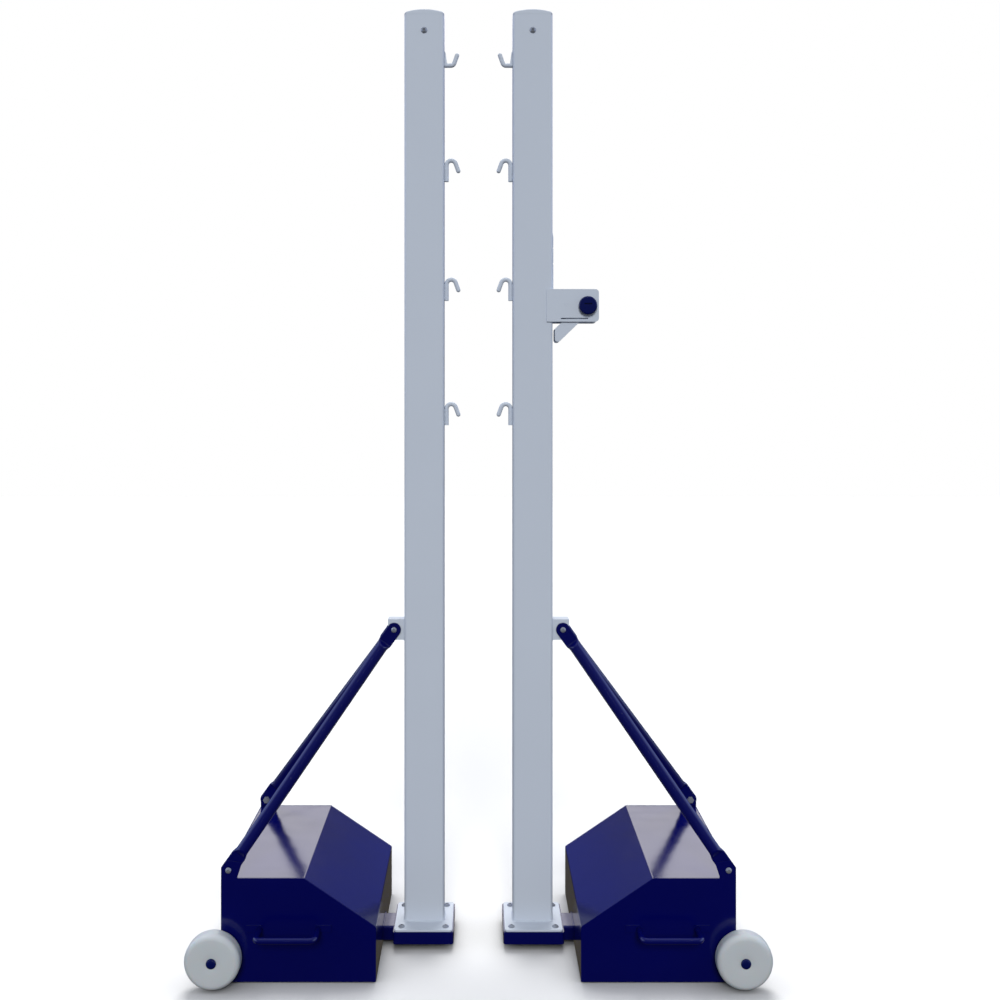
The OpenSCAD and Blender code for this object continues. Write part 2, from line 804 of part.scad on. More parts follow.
// One long bolt through both strut heads and the lug, and one through each foot
module strut_bolts() {
    head_y = lug_d / 2 + strut_flat_t;
    color(ZINC) at_both() {
        translate([strut_top[0], -head_y, strut_top[1]])
            facing_front() bolt(2 * head_y + nut_h + stick_out, strut_head_d);
        front_and_rear() translate([strut_foot[0], -plate_out, strut_foot[1]])
            facing_front() bolt(sheet + strut_flat_t + nut_h + stick_out, strut_head_d);
    }
}

module lock_nuts() {
    foot_seat = plate_in - strut_flat_t;
    color(ZINC) at_both() {
        translate([0, post_d / 2, cap_bolt_z]) facing_front() nut();
        for (x = [-1, 1], y = [-1, 1])
            translate([x, y, 0] * flange_bolts_w / 2 + [0, 0, arm_top]) nut();
        translate([strut_top[0], lug_d / 2 + strut_flat_t, strut_top[1]])
            facing_front() nut();
        front_and_rear() translate([strut_foot[0], -foot_seat, strut_foot[1]])
            facing_front() nut();
    }
}

// Folded housing: two cheeks welded on the post's faces, joined by a top web
module tensioner_housing() {
    outer = cheek_y + housing_t;
    web_end = housing_x[1] - housing_r;
    weld_r = 2;
    color(WHITE) difference() {
        union() {
            front_and_rear() slab_y(-outer, -cheek_y) polygon(rounded([
                [housing_x[0], housing_z[0], weld_r],
                [housing_x[1], housing_z[0], housing_r],
                [housing_x[1], housing_z[1], housing_r],
                [housing_x[0], housing_z[1], weld_r]
            ]));
            translate([post_face, -cheek_y, housing_z[1] - housing_t])
                cube([web_end - post_face, 2 * cheek_y, housing_t]);
        }
        rod_y(spindle_at, -casing_d, casing_d, spindle_d / 2 + run_gap);
        rod_y(pawl_pin_at, -casing_d, casing_d, pawl_pin_d / 2 + run_gap);
        translate([slot[0], -2 * cheek_y, housing_z[0] + slot_up])
            cube([slot[1] - slot[0], 2 * cheek_y, slot[2]]);
    }
}

// Spindle with the rope drum between its two flanges
module rope_spool() {
    flange = 2;
    knob_seat = cheek_y + housing_t + free_gap;
    rear_end = cheek_y + housing_t + 3 * stick_out;
    color(STEEL) {
        rod_y(spindle_at, -knob_seat - knob_t / 2, rear_end, spindle_d / 2);
        rod_y(spindle_at, -drum[1] / 2, drum[1] / 2, drum[0]);
        for (y = [-drum[1] / 2, drum[1] / 2 - flange])
            rod_y(spindle_at, y, y + flange, drum_flange_r);
    }
}

// Saw teeth: each rises along the wheel and drops on a radial face
module ratchet_wheel() {
    root = ratchet_r - tooth_h;
    step = 360 / teeth;
    undercut = 0.5;
    color(ZINC) difference() {
        slab_y(-ratchet_y, -ratchet_y + ratchet_t) translate(spindle_at) polygon([
            for (i = [0 : teeth - 1]) let (a = pawl_contact + i * step)
                each [ratchet_r * dir(a), root * dir(a + undercut)]
        ]);
        rod_y(spindle_at, -casing_d, casing_d, spindle_d / 2);
    }
}

// Knob with a rounded edge and a slot for a bar
module spool_knob() {
    seat = cheek_y + housing_t + free_gap;
    r = knob_d / 2;
    edge_r = knob_t / 3;
    back_r = 2;
    bar_slot = [0.43 * knob_d, 0.12 * knob_d, 0.27 * knob_t];
    color(NAVY) translate([spindle_at[0], -seat, spindle_at[1]]) rotate([90, 0, 0])
        difference() {
            rotate_extrude($fn = wheel_fn) polygon(concat(
                [[0, 0], [r - back_r, 0], [r, back_r]],
                [for (a = [0 : 18 : 72])
                    [r - edge_r + edge_r * cos(a), knob_t - edge_r + edge_r * sin(a)]],
                [[r - edge_r, knob_t], [0, knob_t]]
            ));
            translate([0, 0, -past])
                cylinder(h = past + knob_t / 2, r = spindle_d / 2);
            translate([-bar_slot[0] / 2, 0, knob_t - bar_slot[2]])
                cube([bar_slot[0], bar_slot[1], bar_slot[2] + past]);
        }
}

// Handle with two straps that turn on the spindle and a cross web by the post
module ratchet_handle() {
    r = strap_w / 2;
    tip_r = 0.4 * r;
    low_z = spindle_at[1] - strap_drop;
    near_x = post_face + strap_out;
    back = spindle_at + r * dir(90 + strap_slope);
    front = spindle_at + r * dir(strap_slope - 90);
    slope = dir(180 + strap_slope);
    bend = back + (back[0] - near_x) / -slope[0] * slope;
    tip = front + (front[1] - low_z) / -slope[1] * slope;
    color(WHITE) difference() {
        union() {
            front_and_rear() slab_y(-strap_y, -strap_y + strap_t) {
                translate(spindle_at) circle(r);
                polygon(rounded([
                    [back[0], back[1], 0],
                    [bend[0], bend[1], tip_r],
                    [near_x, low_z, tip_r],
                    [tip[0], tip[1], tip_r],
                    [front[0], front[1], 0]
                ]));
            }
            translate([near_x, -strap_y, low_z + tip_r])
                cube([strap_t, 2 * strap_y, web_h]);
        }
        rod_y(spindle_at, -casing_d, casing_d, spindle_d / 2 + run_gap);
    }
}

// Pawl that drops on the top of the ratchet wheel
module locking_pawl() {
    root = ratchet_r - tooth_h;
    boss = pawl_pin_d;
    nose_a = pawl_contact + 1.5;
    nose = spindle_at + (root + free_gap) * dir(nose_a);
    shoulder = spindle_at + (ratchet_r + tooth_h) * dir(nose_a);
    heel = spindle_at + (ratchet_r + tooth_h / 4) * dir(pawl_contact + 360 / teeth);
    boss_from = 100;
    boss_to = -60;
    color(ZINC) difference() {
        slab_y(-ratchet_y, -ratchet_y + ratchet_t) {
            translate(pawl_pin_at) circle(boss);
            polygon([
                nose, shoulder, pawl_pin_at + boss * dir(boss_from),
                pawl_pin_at + boss * dir(boss_to), heel
            ]);
        }
        rod_y(pawl_pin_at, -casing_d, casing_d, pawl_pin_d / 2 + run_gap);
    }
}

module pawl_pin() {
    end_y = cheek_y + housing_t + stick_out / 4;
    color(WHITE) rod_y(pawl_pin_at, -end_y, end_y, pawl_pin_d / 2);
}

// Strip welded up the post's outer face, with two notches across it
module notched_strip() {
    taper = [1, 12];
    notch_r = strip[1] - 0.5;
    color(WHITE) difference() {
        slab_y(-strip[0] / 2, strip[0] / 2) polygon([
            [post_face, strip_z[0]],
            [post_face + strip[1], strip_z[0]],
            [post_face + strip[1], strip_z[1] - taper[1]],
            [post_face + taper[0], strip_z[1]],
            [post_face, strip_z[1]]
        ]);
        for (up = notch_up) translate([post_face + strip[1], 0, spindle_h + up])
            rotate([90, 0, 0]) cylinder(h = 2 * strip[0], r = notch_r, center = true);
    }
}

at_left() post_tube();  // left_post_tube
at_left() post_cap();  // left_post_cap
at_left() top_hook();  // left_top_hook
at_left() lower_hooks();  // left_lower_hooks
at_left() strut_lug();  // left_strut_lug
at_left() base_flange();  // left_base_flange
at_left() foot_pad();  // left_foot_pad
at_left() foot_arm();  // left_foot_arm
at_left() casing_shell();  // left_casing_shell
at_left() end_plate();  // left_front_end_plate
at_left() mirror([0, 1, 0]) end_plate();  // left_rear_end_plate
at_left() floor_plate();  // left_floor_plate
at_left() ballast_blocks();  // left_ballast_blocks
at_left() strut();  // left_front_strut
at_left() mirror([0, 1, 0]) strut();  // left_rear_strut
at_left() handles();  // left_handles
at_left() axle();  // left_axle
at_left() axle_plates();  // left_axle_plates
at_left() wheel(-1);  // left_front_wheel
at_left() wheel(1);  // left_rear_wheel
at_left() wheel_bush(-1);  // left_front_wheel_bush
at_left() wheel_bush(1);  // left_rear_wheel_bush
at_left() axle_caps();  // left_axle_caps
at_right() post_tube();  // right_post_tube
at_right() post_cap();  // right_post_cap
at_right() top_hook();  // right_top_hook
at_right() lower_hooks();  // right_lower_hooks
at_right() strut_lug();  // right_strut_lug
at_right() base_flange();  // right_base_flange
at_right() foot_pad();  // right_foot_pad
at_right() foot_arm();  // right_foot_arm
at_right() casing_shell();  // right_casing_shell
at_right() end_plate();  // right_front_end_plate
at_right() mirror([0, 1, 0]) end_plate();  // right_rear_end_plate
at_right() floor_plate();  // right_floor_plate
at_right() ballast_blocks();  // right_ballast_blocks
at_right() strut();  // right_front_strut
at_right() mirror([0, 1, 0]) strut();  // right_rear_strut
at_right() handles();  // right_handles
at_right() axle();  // right_axle
at_right() axle_plates();  // right_axle_plates
at_right() wheel(-1);  // right_front_wheel
at_right() wheel(1);  // right_rear_wheel
at_right() wheel_bush(-1);  // right_front_wheel_bush
at_right() wheel_bush(1);  // right_rear_wheel_bush
at_right() axle_caps();  // right_axle_caps
rubber_feet();
cap_bolts();
flange_bolts();
strut_bolts();
lock_nuts();
at_tensioner() tensioner_housing();
at_tensioner() rope_spool();
at_tensioner() ratchet_wheel();
at_tensioner() spool_knob();
at_tensioner() ratchet_handle();
at_tensioner() locking_pawl();
at_tensioner() pawl_pin();
at_tensioner() notched_strip();
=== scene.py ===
"""Net post pair: coatings, rounded sheet metal, weld seams, moulded wheels and studio."""
import json
import math

import bmesh
import bpy
from bpy.props import FloatProperty, FloatVectorProperty, IntProperty, PointerProperty
from mathutils import Matrix, Vector


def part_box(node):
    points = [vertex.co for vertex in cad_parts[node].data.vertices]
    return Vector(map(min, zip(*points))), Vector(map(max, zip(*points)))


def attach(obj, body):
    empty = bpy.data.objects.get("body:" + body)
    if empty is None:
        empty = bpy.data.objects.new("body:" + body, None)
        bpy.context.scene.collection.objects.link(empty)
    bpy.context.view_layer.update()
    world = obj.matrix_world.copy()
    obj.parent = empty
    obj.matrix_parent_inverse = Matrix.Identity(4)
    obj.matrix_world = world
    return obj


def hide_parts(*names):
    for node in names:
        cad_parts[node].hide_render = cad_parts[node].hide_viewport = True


bl_info = {
    "name": "Net Post Pair",
    "version": (1, 0, 0),
    "blender": (4, 5, 0),
    "location": "View3D > Sidebar > Net Posts",
    "description": "Dresses the net posts with their coatings, welds, wheels and studio",
    "category": "Object",
}

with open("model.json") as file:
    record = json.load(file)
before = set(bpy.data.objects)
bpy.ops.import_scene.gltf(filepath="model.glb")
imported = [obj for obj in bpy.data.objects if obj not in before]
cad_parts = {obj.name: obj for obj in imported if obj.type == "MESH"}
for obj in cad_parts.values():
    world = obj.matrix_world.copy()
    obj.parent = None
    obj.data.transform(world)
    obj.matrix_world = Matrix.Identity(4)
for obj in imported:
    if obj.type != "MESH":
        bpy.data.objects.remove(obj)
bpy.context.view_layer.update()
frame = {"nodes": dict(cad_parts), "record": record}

SIDES = ("left", "right")
OUTWARD = {"left": -1, "right": 1}
BODY_OF = {n: b for b, nodes in frame["record"]["behaviour"]["bodies"].items() for n in nodes}
SLOT_OF = {s["node"]: s["material_slot"] for s in frame["record"]["subparts"]}

# Lengths in metres, angles in degrees
JOIN = 2e-6           # CAD triangles whose corners lie this near are joined
SPIN_JOIN = 1e-7      # the same for the two ends of a full spin
TOUCH = 1e-5          # a point this near a wall touches it
FLAT_ANGLE = 0.3      # faces that turn less than this are one flat
SHARP_ANGLE = 40.0    # edges that turn more than this are rounded
POST_CORNER = 0.009
SEAM_STOP = 0.002     # seams stop this short of a plate's end
SEAM_SIDES = 8
SEAM_END = 0.55       # share of the radius left at the two ends of a seam
HOOK_SEAM, HOUSING_SEAM, STRIP_SEAM, HANDLE_SEAM = 0.7, 0.8, 0.7, 0.45  # seam radii
HOOK_SIDE = 0.78      # how far from a hook's middle its seams lie, as a share of the rod
HOOK_APART = 0.1      # heights further apart than this belong to two hooks
HOUSING_LAP = 0.012   # the housing laps over the post up to here
HANDLE_FOOT = 0.66    # share of a handle's half length where its foot begins
HUB_RADIUS = 0.014
SHOULDER = 0.015      # rounding between a wheel's face and its tread
LEVEL_BAND = 0.004    # level ring between a wheel's hollow and its shoulder
HOLLOW_STEPS, SHOULDER_STEPS = 16, 10
HOLLOW_EASE = 0.4     # below one, the hollow gathers round the hub
GROOVE_LIP, GROOVE_FLOOR = 0.0009, 0.0005  # half widths of the parting groove
DOME_STEPS, DOME_FULLNESS = 12, 0.8
CORNER_STEPS, CAP_EDGE_STEPS, CAP_SLICES = 10, 6, 28
END_RINGS, END_ANGLE = 6, 86.4  # rings of a strut's round end, and how far round they go
NECK_RINGS, TUBE_SIDES = 12, 32
LEAST_HALF = 0.0002   # half the gap between a strut's two halves at its very end
FLOOR_SIZE = 14
SENSOR = 36.0         # millimetres


# Settings

class CoatingSettings(bpy.types.PropertyGroup):
    """Colours and surface of the powder coats"""

    white: FloatVectorProperty(
        name="White coat", description="Colour of the posts, hooks and tensioner",
        subtype="COLOR", size=4, min=0, max=1, default=(0.57, 0.625, 0.71, 1))
    navy: FloatVectorProperty(
        name="Navy coat", description="Colour of the casings, struts and handles",
        subtype="COLOR", size=4, min=0, max=1, default=(0.0004, 0.0012, 0.078, 1))
    white_roughness: FloatProperty(
        name="White roughness", description="Roughness of the white coat",
        min=0, max=1, default=0.34)
    navy_roughness: FloatProperty(
        name="Navy roughness", description="Roughness of the navy coat",
        min=0, max=1, default=0.13)
    peel_size: FloatProperty(
        name="Orange peel", description="Ripples of the cured coat for each metre",
        min=50, max=2000, default=420)


class MouldingSettings(bpy.types.PropertyGroup):
    """Colours of the plastic, rubber and bare metal"""

    nylon: FloatVectorProperty(
        name="Nylon", description="Colour of the wheels", subtype="COLOR", size=4,
        min=0, max=1, default=(0.53, 0.565, 0.585, 1))
    plastic: FloatVectorProperty(
        name="Navy plastic", description="Colour of the knob and the axle caps",
        subtype="COLOR", size=4, min=0, max=1, default=(0.001, 0.004, 0.07, 1))
    zinc: FloatVectorProperty(
        name="Zinc", description="Colour of the plated bolts and nuts", subtype="COLOR",
        size=4, min=0, max=1, default=(0.40, 0.42, 0.46, 1))
    steel: FloatVectorProperty(
        name="Steel", description="Colour of the turned steel", subtype="COLOR", size=4,
        min=0, max=1, default=(0.42, 0.43, 0.45, 1))
    rubber: FloatVectorProperty(
        name="Rubber", description="Colour of the strips underneath", subtype="COLOR",
        size=4, min=0, max=1, default=(0.03, 0.03, 0.032, 1))
    concrete: FloatVectorProperty(
        name="Concrete", description="Colour of the ballast blocks", subtype="COLOR",
        size=4, min=0, max=1, default=(0.42, 0.41, 0.38, 1))


class EdgeSettings(bpy.types.PropertyGroup):
    """How far each kind of edge is rounded"""

    sheet: FloatProperty(
        name="Sheet edge", description="Rounding of cut sheet metal", unit="LENGTH",
        min=0, max=0.004, default=0.0007)
    plate: FloatProperty(
        name="Plate edge", description="Rounding of thick plates", unit="LENGTH",
        min=0, max=0.004, default=0.0014)
    pad: FloatProperty(
        name="Pad edge", description="Rounding of the foot pad", unit="LENGTH",
        min=0, max=0.006, default=0.0019)
    steps: IntProperty(
        name="Edge steps", description="Segments across a rounded edge",
        min=1, max=6, default=3)


class CapSettings(bpy.types.PropertyGroup):
    """The domed caps on the posts"""

    rim: FloatProperty(
        name="Rim", description="Height of the cap at its two ends", unit="LENGTH",
        default=0.0055)
    edge: FloatProperty(
        name="Edge", description="Rounding round the top of the cap", unit="LENGTH",
        default=0.0034)
    corner: FloatProperty(
        name="Corner", description="Radius of the cap's corners", unit="LENGTH",
        default=POST_CORNER)


class StrutSettings(bpy.types.PropertyGroup):
    """The struts, pressed flat at both ends"""

    tube: FloatProperty(
        name="Tube", description="Diameter of the tube", unit="LENGTH", default=0.0315)
    flat: FloatProperty(
        name="Flat", description="Thickness of the pressed ends", unit="LENGTH",
        default=0.005)
    width: FloatProperty(
        name="End width", description="Width of the pressed ends", unit="LENGTH",
        default=0.039)
    straight: FloatProperty(
        name="Straight", description="Length of the flat beyond the bolt", unit="LENGTH",
        default=0.042)
    neck: FloatProperty(
        name="Neck", description="Length from the flat to the round tube", unit="LENGTH",
        default=0.018)


class WeldSettings(bpy.types.PropertyGroup):
    """Size of the weld seams under the coat"""

    radius: FloatProperty(
        name="Seam radius", description="Radius of a weld seam", unit="LENGTH",
        min=0.001, max=0.006, default=0.0026)
    pitch: FloatProperty(
        name="Ripple pitch", description="Distance between ripples", unit="LENGTH",
        min=0.001, max=0.01, default=0.0028)
    ripple: FloatProperty(
        name="Ripple depth", description="Share of the radius lost between ripples",
        min=0, max=0.5, default=0.14)


class WheelSettings(bpy.types.PropertyGroup):
    """Fine shape of the moulded wheels and their axle caps"""

    groove: FloatProperty(
        name="Parting groove", description="Depth of the mould line round the tread",
        unit="LENGTH", min=0, max=0.001, default=0.0003)
    hollow: FloatProperty(
        name="Hub hollow", description="How far the face sinks towards the hub",
        unit="LENGTH", min=0, max=0.004, default=0.0024)
    cap_height: FloatProperty(
        name="Cap height", description="Height of the axle caps over the hub",
        unit="LENGTH", min=0.003, max=0.012, default=0.0055)
    steps: IntProperty(
        name="Wheel steps", description="Segments round a wheel", min=24, max=256,
        default=128)


class StudioSettings(bpy.types.PropertyGroup):
    """Camera, floor and lights"""

    eye: FloatVectorProperty(
        name="Camera place", description="Where the camera stands", unit="LENGTH",
        size=3, default=(0.0, -2.856, 1.469))
    lens: FloatProperty(
        name="Lens", description="Focal length on a 36 mm sensor", default=36.86)
    shift: FloatVectorProperty(
        name="Shift", description="Shift of the lens across and up", size=2,
        default=(0.0215, -0.092))
    sky: FloatProperty(
        name="Sky", description="Strength of the even light", min=0, max=4, default=0.3)
    softbox: FloatProperty(
        name="Softbox", description="Brightness of the bright band in reflections",
        min=0, max=8, default=3.0)
    walls: FloatProperty(
        name="Side walls", description="Brightness of the two sides in reflections",
        min=0, max=8, default=2.0)
    wings: FloatProperty(
        name="Side light", description="Strength of the light from the two sides",
        min=0, max=8, default=0.9)
    overhead: FloatProperty(
        name="Overhead light", description="Strength of the wide light from above",
        min=0, max=10, default=1.85)
    spread: FloatProperty(
        name="Spread", description="Width of the light from above", subtype="ANGLE",
        default=math.radians(30))
    lean: FloatProperty(
        name="Lean", description="Tilt of the light from above, from behind the posts",
        subtype="ANGLE", default=math.radians(22))
    key: FloatProperty(
        name="Front light", description="Strength of the light from above the camera",
        min=0, max=10, default=2.0)
    key_spread: FloatProperty(
        name="Front spread", description="Width of the light from above the camera",
        subtype="ANGLE", default=math.radians(22))
    key_height: FloatProperty(
        name="Front height", description="Height of the front light above the level",
        subtype="ANGLE", default=math.radians(30))
    # Painted shadow: ambient occlusion darkens the floor's colour near the object, where the
    # camera sees it
    painted_shadow: FloatProperty(
        name="Contact shadow", description="How much the floor darkens close to the object",
        min=0, max=3, default=0.7)
    painted_shadow_reach: FloatProperty(
        name="Contact reach", description="How far the contact shadow spreads",
        unit="LENGTH", min=0, max=1, default=0.1)
    paper: FloatProperty(
        name="Paper", description="Tone of the floor where the camera sees it",
        min=0, max=1, default=0.93)
    bounce: FloatProperty(
        name="Bounce", description="Tone of the floor where it lights the object",
        min=0, max=1, default=0.15)


SETTINGS = {
    "net_coating": CoatingSettings,
    "net_moulding": MouldingSettings,
    "net_edges": EdgeSettings,
    "net_caps": CapSettings,
    "net_struts": StrutSettings,
    "net_welds": WeldSettings,
    "net_wheels": WheelSettings,
    "net_studio": StudioSettings,
}


# Walls of the studio as reflections show them: height from floor (0) to ceiling (1)
BACK_WALL = (
    (0.0, (0.03, 0.027, 0.018)), (0.5, (0.03, 0.027, 0.018)), (0.62, (0.055, 0.055, 0.06)),
    (0.652, (0.07, 0.07, 0.075)), (0.678, (1.0, 0.98, 1.0)), (0.76, (0.92, 0.90, 0.94)),
    (0.83, (0.25, 0.29, 0.36)), (0.92, (0.10, 0.12, 0.16)), (0.95, (0.2, 0.22, 0.27)),
    (1.0, (0.2, 0.22, 0.27)),
)
BACK_CORNERS = (
    (0.0, (0.03, 0.027, 0.018)), (0.5, (0.04, 0.04, 0.04)), (0.58, (0.17, 0.20, 0.66)),
    (0.72, (0.18, 0.22, 0.70)), (0.92, (0.25, 0.30, 0.52)), (0.95, (0.55, 0.62, 0.8)),
    (1.0, (0.55, 0.62, 0.8)),
)
FRONT_WALL = (
    (0.0, (0.01, 0.01, 0.01)), (0.28, (0.02, 0.02, 0.02)), (0.4, (0.05, 0.055, 0.06)),
    (0.7, (0.12, 0.14, 0.16)), (0.9, (0.22, 0.25, 0.32)), (0.94, (0.55, 0.62, 0.8)),
    (1.0, (0.55, 0.62, 0.8)),
)
SIDE_WALLS = (
    (0.0, (0.02, 0.02, 0.02)), (0.45, (0.04, 0.04, 0.04)), (0.56, (0.55, 0.68, 1.0)),
    (1.0, (0.55, 0.68, 1.0)),
)
# Even light from the front (0) to the back (1)
EVEN_LIGHT = ((0.05, (0.34, 0.38, 0.44)), (0.52, (1.0, 1.0, 1.0)))
# Where one wall gives way to the next, as shares of a direction
BACK_BAND_SIDES = (0.26, 0.34)
SIDE_WALL_EDGES = (0.62, 0.95)
FRONT_TO_BACK = (-0.3, 0.5)


# Shader groups

def new_group(name, inputs):
    """A shader group that puts out a finish, with its input node and its output node."""
    group = bpy.data.node_groups.new(name, "ShaderNodeTree")
    for label, kind, value in inputs:
        item = group.interface.new_socket(label, in_out="INPUT", socket_type=kind)
        item.default_value = value
    for label, kind in (("Colour", "Color"), ("Roughness", "Float"), ("Height", "Float")):
        group.interface.new_socket(label, in_out="OUTPUT", socket_type="NodeSocket" + kind)
    return group, group.nodes.new("NodeGroupInput"), group.nodes.new("NodeGroupOutput")


def feed(tree, value, slot):
    """Puts a socket's link or a plain value into a slot."""
    if hasattr(value, "is_output"):
        tree.links.new(value, slot)
    else:
        slot.default_value = value


def math_node(tree, operation, a, b=None):
    """A math node whose inputs are sockets or numbers."""
    node = tree.nodes.new("ShaderNodeMath")
    node.operation = operation
    feed(tree, a, node.inputs[0])
    if b is not None:
        feed(tree, b, node.inputs[1])
    return node.outputs[0]


def fade(tree, value, start, end, low=0.0, high=1.0):
    """A value that goes from low to high between start and end."""
    node = tree.nodes.new("ShaderNodeMapRange")
    for label, number in (("From Min", start), ("From Max", end), ("To Min", low),
                          ("To Max", high)):
        node.inputs[label].default_value = number
    tree.links.new(value, node.inputs["Value"])
    return node.outputs["Result"]


def object_noise(tree, scale, detail):
    """Noise on object coordinates; scale is a number or a socket."""
    coords = tree.nodes.new("ShaderNodeTexCoord")
    noise = tree.nodes.new("ShaderNodeTexNoise")
    noise.inputs["Detail"].default_value = detail
    tree.links.new(coords.outputs["Object"], noise.inputs["Vector"])
    feed(tree, scale, noise.inputs["Scale"])
    return noise.outputs["Fac"]


def wander(tree, noise, drift):
    """A tone round zero that a noise moves up and down by a drift."""
    return math_node(tree, "MULTIPLY", math_node(tree, "SUBTRACT", noise, 0.5), drift)


def shade(tree, colour, tone):
    """The colour made lighter or darker by a tone round zero."""
    mix = tree.nodes.new("ShaderNodeVectorMath")
    mix.operation = "SCALE"
    tree.links.new(colour, mix.inputs[0])
    tree.links.new(math_node(tree, "ADD", tone, 1.0), mix.inputs["Scale"])
    return mix.outputs["Vector"]


def coat_group():
    """Cured powder coat: orange peel, slow drift of tone and a breath of floor dust."""
    group, into, out = new_group("Powder Coat", [
        ("Colour", "NodeSocketColor", (0.5, 0.5, 0.5, 1)),
        ("Roughness", "NodeSocketFloat", 0.3),
        ("Drift", "NodeSocketFloat", 0.06),
        ("Peel Size", "NodeSocketFloat", 400.0),
        ("Dust", "NodeSocketFloat", 0.1),
        ("Sheet Wave", "NodeSocketFloat", 0.0),
    ])
    tone = wander(group, object_noise(group, scale=3.0, detail=3.0), into.outputs["Drift"])
    toned = shade(group, into.outputs["Colour"], tone)
    dust = math_node(group, "MULTIPLY", dust_mask(group), into.outputs["Dust"])
    mix = group.nodes.new("ShaderNodeMix")
    mix.data_type = "RGBA"
    mix.inputs["B"].default_value = (0.34, 0.33, 0.31, 1)
    group.links.new(dust, mix.inputs["Factor"])
    group.links.new(toned, mix.inputs["A"])
    group.links.new(mix.outputs["Result"], out.inputs["Colour"])
    smear = math_node(group, "MULTIPLY", object_noise(group, scale=14.0, detail=4.0), 0.05)
    rough = math_node(group, "ADD", into.outputs["Roughness"], smear)
    group.links.new(math_node(group, "ADD", rough, math_node(group, "MULTIPLY", dust, 0.5)),
                    out.inputs["Roughness"])
    wave = math_node(group, "MULTIPLY", object_noise(group, scale=11.0, detail=1.0),
                     into.outputs["Sheet Wave"])
    peel = object_noise(group, into.outputs["Peel Size"], detail=1.0)
    group.links.new(math_node(group, "ADD", peel, wave), out.inputs["Height"])
    return group


def dust_mask(tree):
    """One near the floor, fading out a hand's breadth above it, broken up by noise."""
    coords = tree.nodes.new("ShaderNodeTexCoord")
    split = tree.nodes.new("ShaderNodeSeparateXYZ")
    tree.links.new(coords.outputs["Object"], split.inputs[0])
    near_floor = fade(tree, split.outputs["Z"], start=0.0, end=0.12, low=1.0, high=0.0)
    return math_node(tree, "MULTIPLY", near_floor, object_noise(tree, scale=22.0, detail=4.0))


def grain_group():
    """Fine grain of a moulded or machined surface, with a tone that wanders."""
    group, into, out = new_group("Fine Grain", [
        ("Colour", "NodeSocketColor", (0.5, 0.5, 0.5, 1)),
        ("Roughness", "NodeSocketFloat", 0.4),
        ("Grain Size", "NodeSocketFloat", 900.0),
        ("Drift", "NodeSocketFloat", 0.1),
    ])
    tone = wander(group, object_noise(group, scale=30.0, detail=4.0), into.outputs["Drift"])
    group.links.new(shade(group, into.outputs["Colour"], tone), out.inputs["Colour"])
    group.links.new(math_node(group, "ADD", into.outputs["Roughness"], tone),
                    out.inputs["Roughness"])
    group.links.new(object_noise(group, into.outputs["Grain Size"], detail=3.0),
                    out.inputs["Height"])
    return group


GROUPS = {"Powder Coat": coat_group, "Fine Grain": grain_group}


# Materials

def surface(name, group, values, bump, settings):
    """A Principled material over a named group, which is built when first asked for."""
    material = bpy.data.materials.new(name)
    material.use_nodes = True
    tree = material.node_tree
    shader = tree.nodes["Principled BSDF"]
    for label, value in settings.items():
        shader.inputs[label].default_value = value
    skin = tree.nodes.new("ShaderNodeGroup")
    skin.node_tree = bpy.data.node_groups.get(group) or GROUPS[group]()
    for label, value in values.items():
        skin.inputs[label].default_value = value
    tree.links.new(skin.outputs["Colour"], shader.inputs["Base Color"])
    tree.links.new(skin.outputs["Roughness"], shader.inputs["Roughness"])
    relief = tree.nodes.new("ShaderNodeBump")
    relief.inputs["Strength"].default_value, relief.inputs["Distance"].default_value = bump
    tree.links.new(skin.outputs["Height"], relief.inputs["Height"])
    tree.links.new(relief.outputs["Normal"], shader.inputs["Normal"])
    return material


def finishes(scene):
    """Each slot's material, its group with its values, its relief and its own settings."""
    coat, mould = scene.net_coating, scene.net_moulding
    return {
        "white_powder_coat": ("White Powder Coat", "Powder Coat", {
            "Colour": coat.white, "Roughness": coat.white_roughness, "Drift": 0.05,
            "Peel Size": coat.peel_size, "Dust": 0.0}, (0.10, 0.0006), {}),
        "navy_powder_coat": ("Navy Powder Coat", "Powder Coat", {
            "Colour": coat.navy, "Roughness": coat.navy_roughness, "Drift": 0.35,
            "Peel Size": coat.peel_size, "Dust": 0.004, "Sheet Wave": 34.0},
            (0.05, 0.0005), {"IOR": 1.5}),
        "white_nylon": ("White Nylon", "Powder Coat", {
            "Colour": mould.nylon, "Roughness": 0.38, "Drift": 0.06, "Peel Size": 700.0,
            "Dust": 0.12}, (0.08, 0.0005),
            {"Subsurface Weight": 0.15, "Subsurface Scale": 0.004}),
        "navy_plastic": ("Navy Plastic", "Fine Grain", {
            "Colour": mould.plastic, "Roughness": 0.22, "Grain Size": 1400.0,
            "Drift": 0.1}, (0.06, 0.0003), {}),
        "zinc_steel": ("Zinc Plate", "Fine Grain", {
            "Colour": mould.zinc, "Roughness": 0.5, "Grain Size": 1800.0,
            "Drift": 0.2}, (0.10, 0.0002), {"Metallic": 0.65}),
        "plain_steel": ("Turned Steel", "Fine Grain", {
            "Colour": mould.steel, "Roughness": 0.32, "Grain Size": 1200.0,
            "Drift": 0.15}, (0.12, 0.0003), {"Metallic": 1.0}),
        "black_rubber": ("Black Rubber", "Fine Grain", {
            "Colour": mould.rubber, "Roughness": 0.8, "Grain Size": 600.0,
            "Drift": 0.3}, (0.4, 0.0006), {}),
        "concrete": ("Cast Concrete", "Fine Grain", {
            "Colour": mould.concrete, "Roughness": 0.9, "Grain Size": 160.0,
            "Drift": 0.4}, (0.6, 0.002), {}),
    }


def finish_for(slot):
    """The material of a slot, made the first time that it is asked for."""
    name, *recipe = finishes(bpy.context.scene)[slot]
    return bpy.data.materials.get(name) or surface(name, *recipe)


# Pieces

